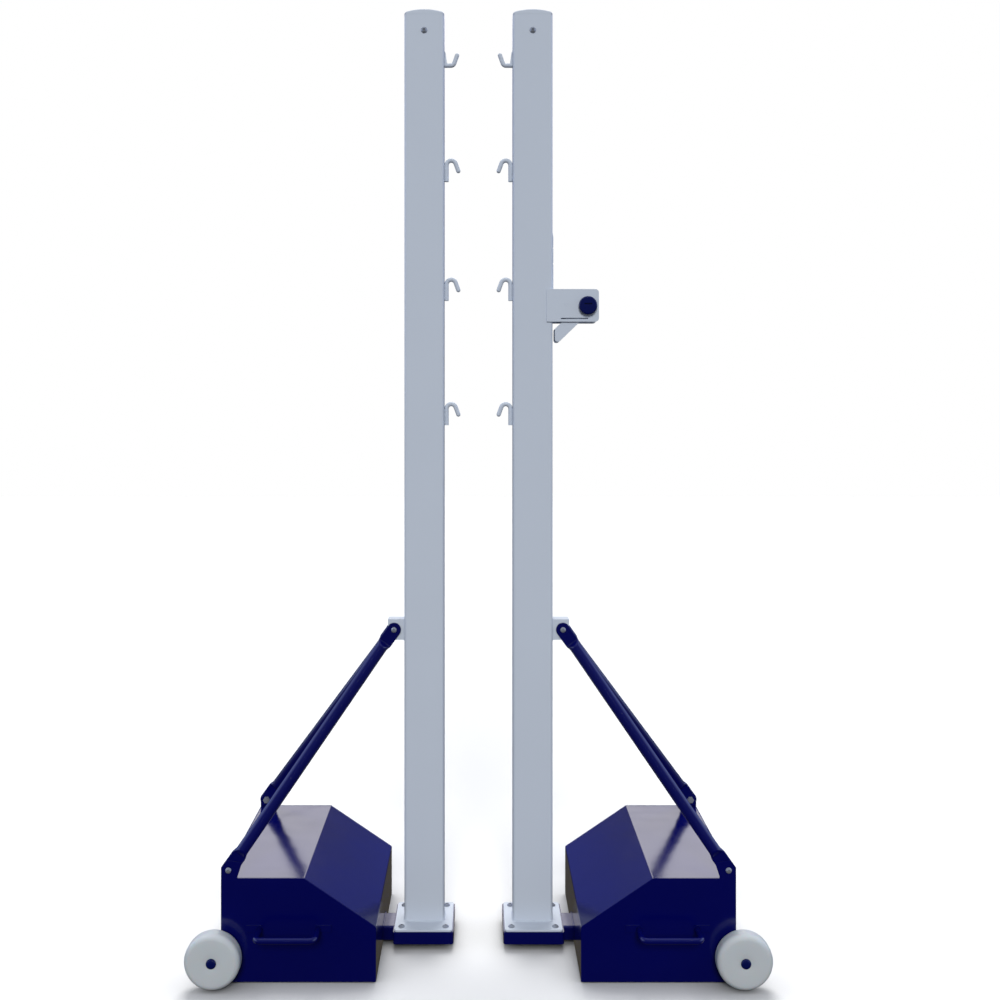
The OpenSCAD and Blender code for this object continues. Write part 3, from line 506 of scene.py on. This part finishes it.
def add_piece(name, bm, slot, body, smooth_angle=35.0, even=True):
    """Makes a bmesh an object that rides on a body, with its finish and clean shading."""
    mesh = bpy.data.meshes.new(name)
    for face in bm.faces:
        face.smooth = True
    bm.to_mesh(mesh)
    bm.free()
    mesh.set_sharp_from_angle(angle=math.radians(smooth_angle))
    mesh.materials.append(finish_for(slot))
    piece = bpy.data.objects.new(name, mesh)
    bpy.context.scene.collection.objects.link(piece)
    if even:
        shading = piece.modifiers.new("Even shading", "WEIGHTED_NORMAL")
        shading.keep_sharp = True
    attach(piece, body)
    return piece


def merged_copy(node):
    """A bmesh copy of a CAD node with its loose triangles joined and flats made whole."""
    bm = bmesh.new()
    bm.from_mesh(frame["nodes"][node].data)
    bmesh.ops.remove_doubles(bm, verts=bm.verts, dist=JOIN)
    bmesh.ops.dissolve_limit(bm, angle_limit=math.radians(FLAT_ANGLE), verts=bm.verts,
                             edges=bm.edges, delimit={"NORMAL"})
    return bm


def stand_in(node, ending, bm, smooth_angle=50.0):
    """Stands a new piece in for a CAD node, on its body and with its finish."""
    piece = add_piece(f"{node}_{ending}", bm, SLOT_OF[node], BODY_OF[node], smooth_angle)
    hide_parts(node)


def soften(node, edge, steps):
    """Stands a copy with rounded edges in for a CAD node."""
    bm = merged_copy(node)
    sharp = [e for e in bm.edges
             if e.is_manifold and e.calc_face_angle() > math.radians(SHARP_ANGLE)]
    if edge > 0 and sharp:
        bmesh.ops.bevel(bm, geom=sharp, offset=edge, offset_type="OFFSET",
                        affect="EDGES", segments=steps, profile=0.5, material=-1,
                        clamp_overlap=True)
    stand_in(node, "finished", bm, smooth_angle=35.0)


def edges_of(verts):
    """The edges at some vertices, in a steady order."""
    return list(dict.fromkeys(e for v in verts for e in v.link_edges))


def whole(bm):
    """Everything in a bmesh."""
    return bm.verts[:] + bm.edges[:] + bm.faces[:]


def followers(items, closed):
    """Each item's next one, coming round to the first on a closed line."""
    return items[1:] + (items[:1] if closed else [])


def spun(section, steps, closed):
    """A section of radius and width spun into a solid round the Y axis."""
    bm = bmesh.new()
    verts = [bm.verts.new((radius, width, 0)) for radius, width in section]
    edges = [bm.edges.new(pair) for pair in zip(verts, followers(verts, closed))]
    bmesh.ops.spin(bm, geom=verts + edges, cent=(0, 0, 0), axis=(0, 1, 0), dvec=(0, 0, 0),
                   angle=math.tau, steps=steps, use_merge=True, use_duplicate=False)
    bmesh.ops.remove_doubles(bm, verts=bm.verts, dist=SPIN_JOIN)
    return bm


def seam(bm, points, radius, closed=False):
    """Sweeps a rippled weld seam along points, joining ring to ring."""
    welds = bpy.context.scene.net_welds
    stations = []
    for start, end in zip(points, followers(points, closed)):
        run = end - start
        count = max(2, round(run.length / welds.pitch))
        stations += [start + run * k / count for k in range(count)]
    if not closed:
        stations.append(points[-1])
    rings = []
    total = len(stations)
    for k, place in enumerate(stations):
        before = stations[k - 1] if k or closed else place
        after = stations[(k + 1) % total] if k < total - 1 or closed else place
        turn = (after - before).to_track_quat("Z", "Y").to_matrix().to_4x4()
        size = radius * (1 - welds.ripple * (k % 2))
        if not closed and k in (0, total - 1):
            size = radius * SEAM_END
        made = bmesh.ops.create_circle(bm, segments=SEAM_SIDES, radius=size,
                                       matrix=Matrix.Translation(place) @ turn)
        rings.append(edges_of(made["verts"]))
    for low, high in zip(rings, followers(rings, closed)):
        bmesh.ops.bridge_loops(bm, edges=low + high)
    if not closed:
        for ring in (rings[0], rings[-1]):
            bmesh.ops.contextual_create(bm, geom=ring)


def rounded_path(width, depth, radius, z, centre, steps=6):
    """Points round a rectangle with round corners, level at height z."""
    points = []
    for corner, (sx, sy) in enumerate(((1, 1), (-1, 1), (-1, -1), (1, -1))):
        middle = Vector((centre[0] + sx * (width / 2 - radius),
                         centre[1] + sy * (depth / 2 - radius), z))
        for k in range(steps + 1):
            angle = math.radians(90 * corner + 90 * k / steps)
            points.append(middle + radius * Vector((math.cos(angle), math.sin(angle), 0)))
    return points


def box_of(node):
    """Lowest and highest corner of a CAD node."""
    low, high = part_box(node)
    return Vector(low), Vector(high)


# Operators

class NETPOSTS_OT_coat_frame(bpy.types.Operator):
    """Gives every part that keeps its packed shape the finish of its slot"""

    bl_idname = "netposts.coat_frame"
    bl_label = "Coat The Frame"

    def execute(self, context):
        for node, part in frame["nodes"].items():
            part.data.materials.clear()
            part.data.materials.append(finish_for(SLOT_OF[node]))
        return {"FINISHED"}


class NETPOSTS_OT_round_edges(bpy.types.Operator):
    """Stands copies with rounded edges in for the sheet metal and the turned parts"""

    bl_idname = "netposts.round_edges"
    bl_label = "Round The Edges"

    def execute(self, context):
        edges = context.scene.net_edges
        kinds = {
            "post_tube": edges.sheet, "strut_lug": edges.plate,
            "base_flange": edges.plate, "foot_pad": edges.pad, "foot_arm": edges.sheet,
            "casing_shell": edges.sheet, "front_end_plate": edges.sheet,
            "rear_end_plate": edges.sheet, "handles": edges.sheet, "axle": edges.plate,
            "axle_plates": edges.plate, "top_hook": 0, "lower_hooks": 0,
        }
        for side in SIDES:
            for name, edge in kinds.items():
                soften(f"{side}_{name}", edge, edges.steps)
        for node in ("tensioner_housing", "ratchet_handle", "notched_strip"):
            soften(node, edges.sheet, edges.steps)
        for node in ("rubber_feet", "ratchet_wheel", "locking_pawl", "rope_spool"):
            soften(node, edges.sheet / 2, 2)
        for node in ("spool_knob", "cap_bolts", "flange_bolts", "strut_bolts",
                     "lock_nuts", "pawl_pin"):
            soften(node, edges.sheet / 3, 2)
        return {"FINISHED"}


class NETPOSTS_OT_weld_posts(bpy.types.Operator):
    """Lays the weld seams of the posts, hooks, lugs and tensioner"""

    bl_idname = "netposts.weld_posts"
    bl_label = "Weld The Posts"

    def execute(self, context):
        radius = context.scene.net_welds.radius
        for side in SIDES:
            bm = bmesh.new()
            low, high = box_of(f"{side}_post_tube")
            middle = (low + high) / 2
            foot = rounded_path(high.x - low.x, high.y - low.y, POST_CORNER, low.z, middle)
            seam(bm, foot, radius, closed=True)
            self.lug_seams(bm, side, radius)
            self.hook_seams(bm, side, radius * HOOK_SEAM)
            add_piece(f"{side}_post_welds", bm, "white_powder_coat", "stands", even=False)
        self.housing_seams(radius * HOUSING_SEAM)
        return {"FINISHED"}

    def lug_seams(self, bm, side, radius):
        low, high = box_of(f"{side}_strut_lug")
        x = low.x if side == "right" else high.x
        corners = [(low.y, low.z), (high.y, low.z), (high.y, high.z), (low.y, high.z)]
        seam(bm, [Vector((x, y, z)) for y, z in corners], radius, closed=True)

    def hook_seams(self, bm, side, radius):
        hooks = merged_copy(f"{side}_lower_hooks")
        low, high = box_of(f"{side}_lower_hooks")
        rod = (high.y - low.y) / 2
        face = box_of(f"{side}_post_tube")[1 if side == "left" else 0].x
        root = face - OUTWARD[side] * rod / 6
        touching = sorted({round(v.co.z, 4) for v in hooks.verts
                           if abs(v.co.x - face) < TOUCH})
        hooks.free()
        starts = [z for k, z in enumerate(touching)
                  if not k or z - touching[k - 1] > HOOK_APART]
        ends = [z for k, z in enumerate(touching)
                if k == len(touching) - 1 or touching[k + 1] - z > HOOK_APART]
        for bottom, top in zip(starts, ends):
            for y in (-HOOK_SIDE * rod, HOOK_SIDE * rod):
                seam(bm, [Vector((root, y, bottom)), Vector((root, y, top))], radius)

    def housing_seams(self, radius):
        bm = bmesh.new()
        post_low, post_high = box_of("right_post_tube")
        low = box_of("tensioner_housing")[0]
        for y in (post_low.y, post_high.y):
            seam(bm, [Vector((post_high.x, y, low.z)),
                      Vector((low.x + HOUSING_LAP, y, low.z))], radius)
        strip_low, strip_high = box_of("notched_strip")
        for y in (strip_low.y, strip_high.y):
            seam(bm, [Vector((strip_low.x, y, strip_low.z + 2 * SEAM_STOP)),
                      Vector((strip_low.x, y, strip_high.z - SEAM_STOP))],
                 radius * STRIP_SEAM)
        add_piece("tensioner_welds", bm, "white_powder_coat", "stands", even=False)


class NETPOSTS_OT_weld_casings(bpy.types.Operator):
    """Lays the weld seams of the casings, arms, handles and axle plates"""

    bl_idname = "netposts.weld_casings"
    bl_label = "Weld The Casings"

    def execute(self, context):
        radius = context.scene.net_welds.radius
        for side in SIDES:
            bm = bmesh.new()
            self.arm_seams(bm, side, radius)
            self.handle_seams(bm, side, radius * HANDLE_SEAM)
            self.axle_seams(bm, side, radius)
            add_piece(f"{side}_casing_welds", bm, "navy_powder_coat", "stands",
                      even=False)
        return {"FINISHED"}

    def arm_seams(self, bm, side, radius):
        arm_low, arm_high = box_of(f"{side}_foot_arm")
        shell_low, shell_high = box_of(f"{side}_casing_shell")
        wall = shell_high.x if side == "left" else shell_low.x
        start = arm_low.z + 2 * SEAM_STOP
        corners = ((arm_low.y, start), (arm_low.y, arm_high.z),
                   (arm_high.y, arm_high.z), (arm_high.y, start))
        seam(bm, [Vector((wall, y, z)) for y, z in corners], radius)

    def handle_seams(self, bm, side, radius):
        low, high = box_of(f"{side}_handles")
        middle = (low + high) / 2
        for end, plate in (("front", 0), ("rear", 1)):
            y = box_of(f"{side}_{end}_end_plate")[plate].y
            for reach in (low.x - middle.x, high.x - middle.x):
                inner = reach * HANDLE_FOOT
                for z in (low.z, high.z):
                    seam(bm, [Vector((middle.x + inner, y, z)),
                              Vector((middle.x + reach, y, z))], radius)

    def axle_seams(self, bm, side, radius):
        plates = merged_copy(f"{side}_axle_plates")
        shell_low, shell_high = box_of(f"{side}_casing_shell")
        wall = shell_low.x if side == "left" else shell_high.x
        low, high = box_of(f"{side}_axle_plates")
        sides = sorted({round(v.co.y, 5) for v in plates.verts
                        if abs(v.co.x - wall) < TOUCH})
        plates.free()
        for y in sides:
            seam(bm, [Vector((wall, y, low.z + SEAM_STOP)),
                      Vector((wall, y, high.z - SEAM_STOP))], radius)


class NETPOSTS_OT_mould_wheels(bpy.types.Operator):
    """Spins the nylon wheels with their hollow faces, and the domed axle caps"""

    bl_idname = "netposts.mould_wheels"
    bl_label = "Mould The Wheels"

    def execute(self, context):
        for side in SIDES:
            for end in ("front", "rear"):
                self.wheel(context.scene.net_wheels, f"{side}_{end}_wheel")
            self.caps(context.scene.net_wheels, side)
        return {"FINISHED"}

    def caps(self, settings, side):
        """Two domed caps, each with the blind hole that takes the axle's end."""
        node = f"{side}_axle_caps"
        low, high = box_of(node)
        middle = (low + high) / 2
        axle_low, axle_high = box_of(f"{side}_axle")
        hole = (axle_high.z - axle_low.z) / 2
        radius = (high.z - low.z) / 2
        seat = high.y - settings.cap_height
        depth = axle_high.y - seat
        section = [(0, depth), (hole, depth), (hole, 0)]
        for k in range(DOME_STEPS + 1):
            angle = math.radians(90 * k / DOME_STEPS)
            section.append((radius * math.cos(angle) ** DOME_FULLNESS,
                            settings.cap_height * math.sin(angle) ** DOME_FULLNESS))
        bm = spun(section, settings.steps // 2, closed=False)
        bmesh.ops.translate(bm, verts=bm.verts, vec=(0, seat - middle.y, 0))
        bmesh.ops.mirror(bm, geom=whole(bm), axis="Y", merge_dist=0)
        bmesh.ops.recalc_face_normals(bm, faces=bm.faces)
        bmesh.ops.translate(bm, verts=bm.verts, vec=middle)
        stand_in(node, "finished", bm)

    def wheel(self, settings, node):
        low, high = box_of(node)
        bore_low, bore_high = box_of(node + "_bush")
        outer = (high.z - low.z) / 2
        half = (high.y - low.y) / 2
        bore = (bore_high.z - bore_low.z) / 2
        bm = spun(self.section(settings, outer, half, bore), settings.steps, closed=True)
        bmesh.ops.recalc_face_normals(bm, faces=bm.faces)
        bmesh.ops.translate(bm, verts=bm.verts, vec=(low + high) / 2)
        stand_in(node, "moulded", bm)

    def section(self, settings, outer, half, bore):
        """Radius and width of a wheel's section, from the bore round the tread and back."""
        rim = outer - SHOULDER - LEVEL_BAND
        face = [(bore, half - settings.hollow)]
        for k in range(HOLLOW_STEPS + 1):
            t = k / HOLLOW_STEPS
            rise = (1 - math.cos(math.pi * t ** HOLLOW_EASE)) / 2
            face.append((HUB_RADIUS + (rim - HUB_RADIUS) * t,
                         half - settings.hollow * (1 - rise)))
        for k in range(1, SHOULDER_STEPS + 1):
            angle = math.radians(90 - 90 * k / SHOULDER_STEPS)
            face.append((outer - SHOULDER + SHOULDER * math.cos(angle),
                         half - SHOULDER + SHOULDER * math.sin(angle)))
        tread = [(outer, GROOVE_LIP), (outer - settings.groove, GROOVE_FLOOR)]
        one_side = face + tread
        return one_side + [(r, -y) for r, y in reversed(one_side)]


class NETPOSTS_OT_mould_caps(bpy.types.Operator):
    """Moulds the domed caps with a soft edge over the plug that holds them"""

    bl_idname = "netposts.mould_caps"
    bl_label = "Mould The Caps"

    def execute(self, context):
        for side in SIDES:
            self.cap(context.scene.net_caps, side)
        return {"FINISHED"}

    def cap(self, settings, side):
        node = f"{side}_post_cap"
        low, high = box_of(node)
        seat = box_of(f"{side}_post_tube")[1].z
        middle = Vector(((low.x + high.x) / 2, (low.y + high.y) / 2, seat))
        width, depth = high.x - low.x, high.y - low.y
        rise = high.z - seat - settings.rim
        bm = bmesh.new()
        wall = settings.rim - settings.edge
        bmesh.ops.create_cube(bm, size=1)
        bmesh.ops.scale(bm, verts=bm.verts, vec=(width, depth, wall))
        bmesh.ops.translate(bm, verts=bm.verts, vec=(0, 0, wall / 2))
        upright = [e for e in bm.edges if abs(e.verts[0].co.z - e.verts[1].co.z) > wall / 2]
        bmesh.ops.bevel(bm, geom=upright, offset=settings.corner, offset_type="OFFSET",
                        affect="EDGES", segments=CORNER_STEPS, profile=0.5, material=-1)
        top = max(bm.faces, key=lambda f: f.calc_center_median().z)
        before = 0.0
        for k in range(1, CAP_EDGE_STEPS + 1):
            angle = math.radians(90 * k / CAP_EDGE_STEPS)
            inset = settings.edge * (1 - math.cos(angle))
            bmesh.ops.inset_region(bm, faces=[top], thickness=inset - before,
                                   use_even_offset=True)
            before = inset
            height = wall + settings.edge * math.sin(angle)
            for vert in top.verts:
                vert.co.z = height
        for k in range(1, CAP_SLICES):
            x = width * (k / CAP_SLICES - 0.5)
            bmesh.ops.bisect_plane(bm, geom=whole(bm), plane_co=(x, 0, 0),
                                   plane_no=(1, 0, 0))
        for vert in bm.verts:
            if vert.co.z > wall / 2:
                vert.co.z += rise * (1 - (2 * vert.co.x / width) ** 2)
        bmesh.ops.translate(bm, verts=bm.verts, vec=middle)
        self.plug(bm, node, seat)
        stand_in(node, "moulded", bm)

    def plug(self, bm, node, seat):
        """Adds the part of the CAD cap that sits inside the tube."""
        plug = merged_copy(node)
        cut = bmesh.ops.bisect_plane(plug, geom=whole(plug), clear_outer=True,
                                     plane_co=(0, 0, seat - TOUCH), plane_no=(0, 0, 1))
        rim = [e for e in cut["geom_cut"] if isinstance(e, bmesh.types.BMEdge)]
        bmesh.ops.contextual_create(plug, geom=rim)
        mesh = bpy.data.meshes.new("plug")
        plug.to_mesh(mesh)
        plug.free()
        bm.from_mesh(mesh)
        bpy.data.meshes.remove(mesh)


class NETPOSTS_OT_press_struts(bpy.types.Operator):
    """Draws the four strut tubes with their pressed ends in one smooth skin"""

    bl_idname = "netposts.press_struts"
    bl_label = "Press The Struts"

    def execute(self, context):
        for side in SIDES:
            for end in ("front", "rear"):
                self.strut(context.scene.net_struts, side, end)
        return {"FINISHED"}

    def strut(self, settings, side, end):
        node = f"{side}_{end}_strut"
        low, high = box_of(node)
        reach = settings.width / 2
        inner, outer = (high, low) if side == "left" else (low, high)
        plate = box_of(f"{side}_{end}_end_plate")[1 if end == "front" else 0].y
        lug = box_of(f"{side}_strut_lug")[0 if end == "front" else 1].y
        half = settings.flat / 2 if end == "front" else -settings.flat / 2
        outward = OUTWARD[side]
        foot = Vector((outer.x - outward * reach, plate + half, low.z + reach))
        head = Vector((inner.x + outward * reach, lug - half, high.z - reach))
        along = Vector((head.x - foot.x, 0, head.z - foot.z)).normalized()
        neck_low = foot + along * settings.straight
        neck_high = head - along * settings.straight
        tube = (neck_high - neck_low).normalized()
        bm = bmesh.new()
        rings = []
        for k in range(END_RINGS, -1, -1):
            rings.append(self.end_ring(bm, settings, foot, -along, k))
        rings.append(self.ring(bm, settings, neck_low, along, 0.0))
        for k in range(1, NECK_RINGS + 1):
            place = neck_low + tube * settings.neck * k / NECK_RINGS
            rings.append(self.ring(bm, settings, place, tube, k / NECK_RINGS))
        for k in range(NECK_RINGS, 0, -1):
            place = neck_high - tube * settings.neck * k / NECK_RINGS
            rings.append(self.ring(bm, settings, place, tube, k / NECK_RINGS))
        rings.append(self.ring(bm, settings, neck_high, along, 0.0))
        for k in range(END_RINGS + 1):
            rings.append(self.end_ring(bm, settings, head, along, k))
        for before, after in zip(rings, followers(rings, closed=False)):
            bmesh.ops.bridge_loops(bm, edges=before + after)
        for ring in (rings[0], rings[-1]):
            bmesh.ops.contextual_create(bm, geom=ring)
        bmesh.ops.recalc_face_normals(bm, faces=bm.faces)
        stand_in(node, "pressed", bm)

    def end_ring(self, bm, settings, bolt, outward, k):
        """Ring k of the round end beyond a bolt; ring 0 is level with the bolt."""
        reach = settings.width / 2
        angle = math.radians(END_ANGLE * k / END_RINGS)
        direction = outward if outward.z > 0 else -outward
        place = bolt + outward * reach * math.sin(angle)
        return self.ring(bm, settings, place, direction, 0.0, reach * math.cos(angle))

    def ring(self, bm, settings, place, along, roundness, half_width=None):
        """Section of a pressed tube: a circle whose two halves are drawn apart."""
        ease = (1 - math.cos(math.pi * roundness)) / 2
        flat, tube = settings.flat / 2, settings.tube / 2
        radius = flat + (tube - flat) * ease
        apart = (settings.width / 2 - flat) * (1 - ease)
        if half_width is not None:
            apart = max(half_width - flat, LEAST_HALF)
        across = along.cross(Vector((0, 1, 0))).normalized()
        depth = across.cross(along).normalized()
        turn = Matrix((across, depth, along)).transposed().to_4x4()
        half_side = Matrix.Rotation(math.radians(180 / TUBE_SIDES), 4, "Z")
        made = bmesh.ops.create_circle(bm, segments=TUBE_SIDES, radius=radius,
                                       matrix=half_side)
        for half, shift in ((1, apart), (-1, -apart)):
            verts = [v for v in made["verts"] if v.co.x * half > 0]
            bmesh.ops.translate(bm, verts=verts, vec=(shift, 0, 0))
        bmesh.ops.transform(bm, verts=made["verts"], matrix=Matrix.Translation(place) @ turn)
        return edges_of(made["verts"])


class NETPOSTS_OT_studio(bpy.types.Operator):
    """Builds the floor, the light and the camera"""

    bl_idname = "netposts.studio"
    bl_label = "Build The Studio"

    def execute(self, context):
        scene = context.scene
        studio = scene.net_studio
        scene.view_settings.view_transform = "Standard"
        self.floor(studio)
        self.world(scene, studio)
        self.lamp(scene, "Overhead", studio.overhead, studio.spread, -studio.lean)
        self.lamp(scene, "Front Light", studio.key, studio.key_spread,
                  math.radians(90) - studio.key_height)
        self.camera(scene, studio)
        return {"FINISHED"}

    def floor(self, studio):
        """A pale floor; where the camera sees it, a painted shadow darkens its colour close
        to the object.
        """
        bm = bmesh.new()
        bmesh.ops.create_grid(bm, x_segments=1, y_segments=1, size=FLOOR_SIZE)
        mesh = bpy.data.meshes.new("Floor")
        bm.to_mesh(mesh)
        bm.free()
        floor = bpy.data.objects.new("Floor", mesh)
        bpy.context.scene.collection.objects.link(floor)
        floor.visible_glossy = False
        material = bpy.data.materials.new("Studio Floor")
        material.use_nodes = True
        tree = material.node_tree
        tree.nodes.remove(tree.nodes["Principled BSDF"])
        mix = tree.nodes.new("ShaderNodeMixShader")
        light_path = tree.nodes.new("ShaderNodeLightPath")
        tree.links.new(light_path.outputs["Is Camera Ray"], mix.inputs["Fac"])
        # Painted contact shadow: ambient occlusion darkens the floor's colour for the camera
        # close to the object
        painted_shadow = tree.nodes.new("ShaderNodeAmbientOcclusion")
        painted_shadow.inputs["Distance"].default_value = studio.painted_shadow_reach
        shadow = math_node(tree, "POWER", painted_shadow.outputs["AO"], studio.painted_shadow)
        unseen = (studio.bounce, studio.bounce, studio.bounce, 1)
        seen = math_node(tree, "MULTIPLY", shadow, studio.paper)
        for slot, tone in ((1, unseen), (2, seen)):
            paper = tree.nodes.new("ShaderNodeBsdfDiffuse")
            feed(tree, tone, paper.inputs["Color"])
            tree.links.new(paper.outputs[0], mix.inputs[slot])
        tree.links.new(mix.outputs[0], tree.nodes["Material Output"].inputs["Surface"])
        mesh.materials.append(material)

    def world(self, scene, studio):
        """White for the camera, even light for the object, a studio in its reflections."""
        world = bpy.data.worlds.new("Studio")
        scene.world = world
        world.use_nodes = True
        tree = world.node_tree
        tree.nodes.clear()
        coords = tree.nodes.new("ShaderNodeTexCoord")
        split = tree.nodes.new("ShaderNodeSeparateXYZ")
        tree.links.new(coords.outputs["Generated"], split.inputs[0])
        height = self.half_range(tree, split.outputs["Z"])
        aside = math_node(tree, "ABSOLUTE", split.outputs["X"])
        back = self.blend(tree, fade(tree, aside, *BACK_BAND_SIDES),
                          self.glow(tree, height, BACK_WALL, studio.softbox),
                          self.glow(tree, height, BACK_CORNERS, 1.0))
        front = self.glow(tree, height, FRONT_WALL, 1.0)
        room = self.blend(tree, fade(tree, split.outputs["Y"], *FRONT_TO_BACK), front, back)
        even = self.glow(tree, self.half_range(tree, split.outputs["Y"]), EVEN_LIGHT,
                         studio.sky)
        white = tree.nodes.new("ShaderNodeBackground")
        white.inputs["Color"].default_value = (1, 1, 1, 1)
        light_path = tree.nodes.new("ShaderNodeLightPath")
        inside = self.blend(tree, light_path.outputs["Is Glossy Ray"], even, room)
        strength = fade(tree, light_path.outputs["Is Glossy Ray"], 0.0, 1.0,
                        studio.wings, studio.walls)
        beside = math_node(tree, "MULTIPLY", strength, fade(tree, aside, *SIDE_WALL_EDGES))
        sides = self.glow(tree, height, SIDE_WALLS, beside)
        lit = tree.nodes.new("ShaderNodeAddShader")
        tree.links.new(inside, lit.inputs[0])
        tree.links.new(sides, lit.inputs[1])
        clear = math_node(tree, "MAXIMUM", light_path.outputs["Is Camera Ray"],
                          light_path.outputs["Is Transmission Ray"])
        seen = self.blend(tree, clear, lit.outputs[0], white.outputs[0])
        output = tree.nodes.new("ShaderNodeOutputWorld")
        tree.links.new(seen, output.inputs["Surface"])

    def half_range(self, tree, value):
        """A direction's share brought from minus one to one into zero to one."""
        return math_node(tree, "MULTIPLY", math_node(tree, "ADD", value, 1.0), 0.5)

    def glow(self, tree, place, colours, strength):
        """Light whose colour follows a ramp over a direction's share."""
        ramp = tree.nodes.new("ShaderNodeValToRGB")
        elements = ramp.color_ramp.elements
        elements[0].position, elements[1].position = colours[0][0], colours[-1][0]
        elements[0].color, elements[1].color = (*colours[0][1], 1), (*colours[-1][1], 1)
        for position, colour in colours[1:-1]:
            elements.new(position).color = (*colour, 1)
        tree.links.new(place, ramp.inputs["Fac"])
        light = tree.nodes.new("ShaderNodeBackground")
        tree.links.new(ramp.outputs["Color"], light.inputs["Color"])
        feed(tree, strength, light.inputs["Strength"])
        return light.outputs[0]

    def blend(self, tree, amount, low, high):
        """One light where the amount is zero, the other where it is one."""
        mix = tree.nodes.new("ShaderNodeMixShader")
        tree.links.new(amount, mix.inputs["Fac"])
        tree.links.new(low, mix.inputs[1])
        tree.links.new(high, mix.inputs[2])
        return mix.outputs[0]

    def lamp(self, scene, name, strength, spread, tilt):
        """One wide soft light that reflections don't show."""
        data = bpy.data.lights.new(name, "SUN")
        data.energy = strength
        data.angle = spread
        lamp = bpy.data.objects.new(name, data)
        lamp.rotation_euler = (tilt, 0, 0)
        lamp.visible_glossy = False
        scene.collection.objects.link(lamp)

    def camera(self, scene, studio):
        data = bpy.data.cameras.new("Camera")
        data.lens = studio.lens
        data.sensor_width = SENSOR
        data.shift_x, data.shift_y = studio.shift
        camera = bpy.data.objects.new("Camera", data)
        camera.location = studio.eye
        camera.rotation_euler = (math.radians(90), 0, 0)
        scene.collection.objects.link(camera)
        scene.camera = camera


class NETPOSTS_PT_panel(bpy.types.Panel):
    """Sizes, finishes and steps of the net posts"""

    bl_idname = "NETPOSTS_PT_panel"
    bl_label = "Net Posts"
    bl_space_type = "VIEW_3D"
    bl_region_type = "UI"
    bl_category = "Net Posts"

    def draw(self, context):
        layout = self.layout
        for step in STEPS:
            layout.operator(step.bl_idname, text=step.bl_label)
        for name, group in SETTINGS.items():
            box = layout.box()
            box.label(text=group.__doc__)
            for key in group.__annotations__:
                box.prop(getattr(context.scene, name), key)


STEPS = (NETPOSTS_OT_coat_frame, NETPOSTS_OT_round_edges, NETPOSTS_OT_mould_caps,
         NETPOSTS_OT_press_struts, NETPOSTS_OT_weld_posts, NETPOSTS_OT_weld_casings,
         NETPOSTS_OT_mould_wheels, NETPOSTS_OT_studio)


def register():
    for name, group in SETTINGS.items():
        bpy.utils.register_class(group)
        setattr(bpy.types.Scene, name, PointerProperty(type=group))
    for step in STEPS:
        bpy.utils.register_class(step)
    bpy.utils.register_class(NETPOSTS_PT_panel)


def unregister():
    bpy.utils.unregister_class(NETPOSTS_PT_panel)
    for step in reversed(STEPS):
        bpy.utils.unregister_class(step)
    for name, group in SETTINGS.items():
        delattr(bpy.types.Scene, name)
        bpy.utils.unregister_class(group)


def main():
    register()
    bpy.ops.netposts.coat_frame()
    bpy.ops.netposts.round_edges()
    bpy.ops.netposts.mould_caps()
    bpy.ops.netposts.press_struts()
    bpy.ops.netposts.weld_posts()
    bpy.ops.netposts.weld_casings()
    bpy.ops.netposts.mould_wheels()
    bpy.ops.netposts.studio()


if __name__ == "__main__":
    main()
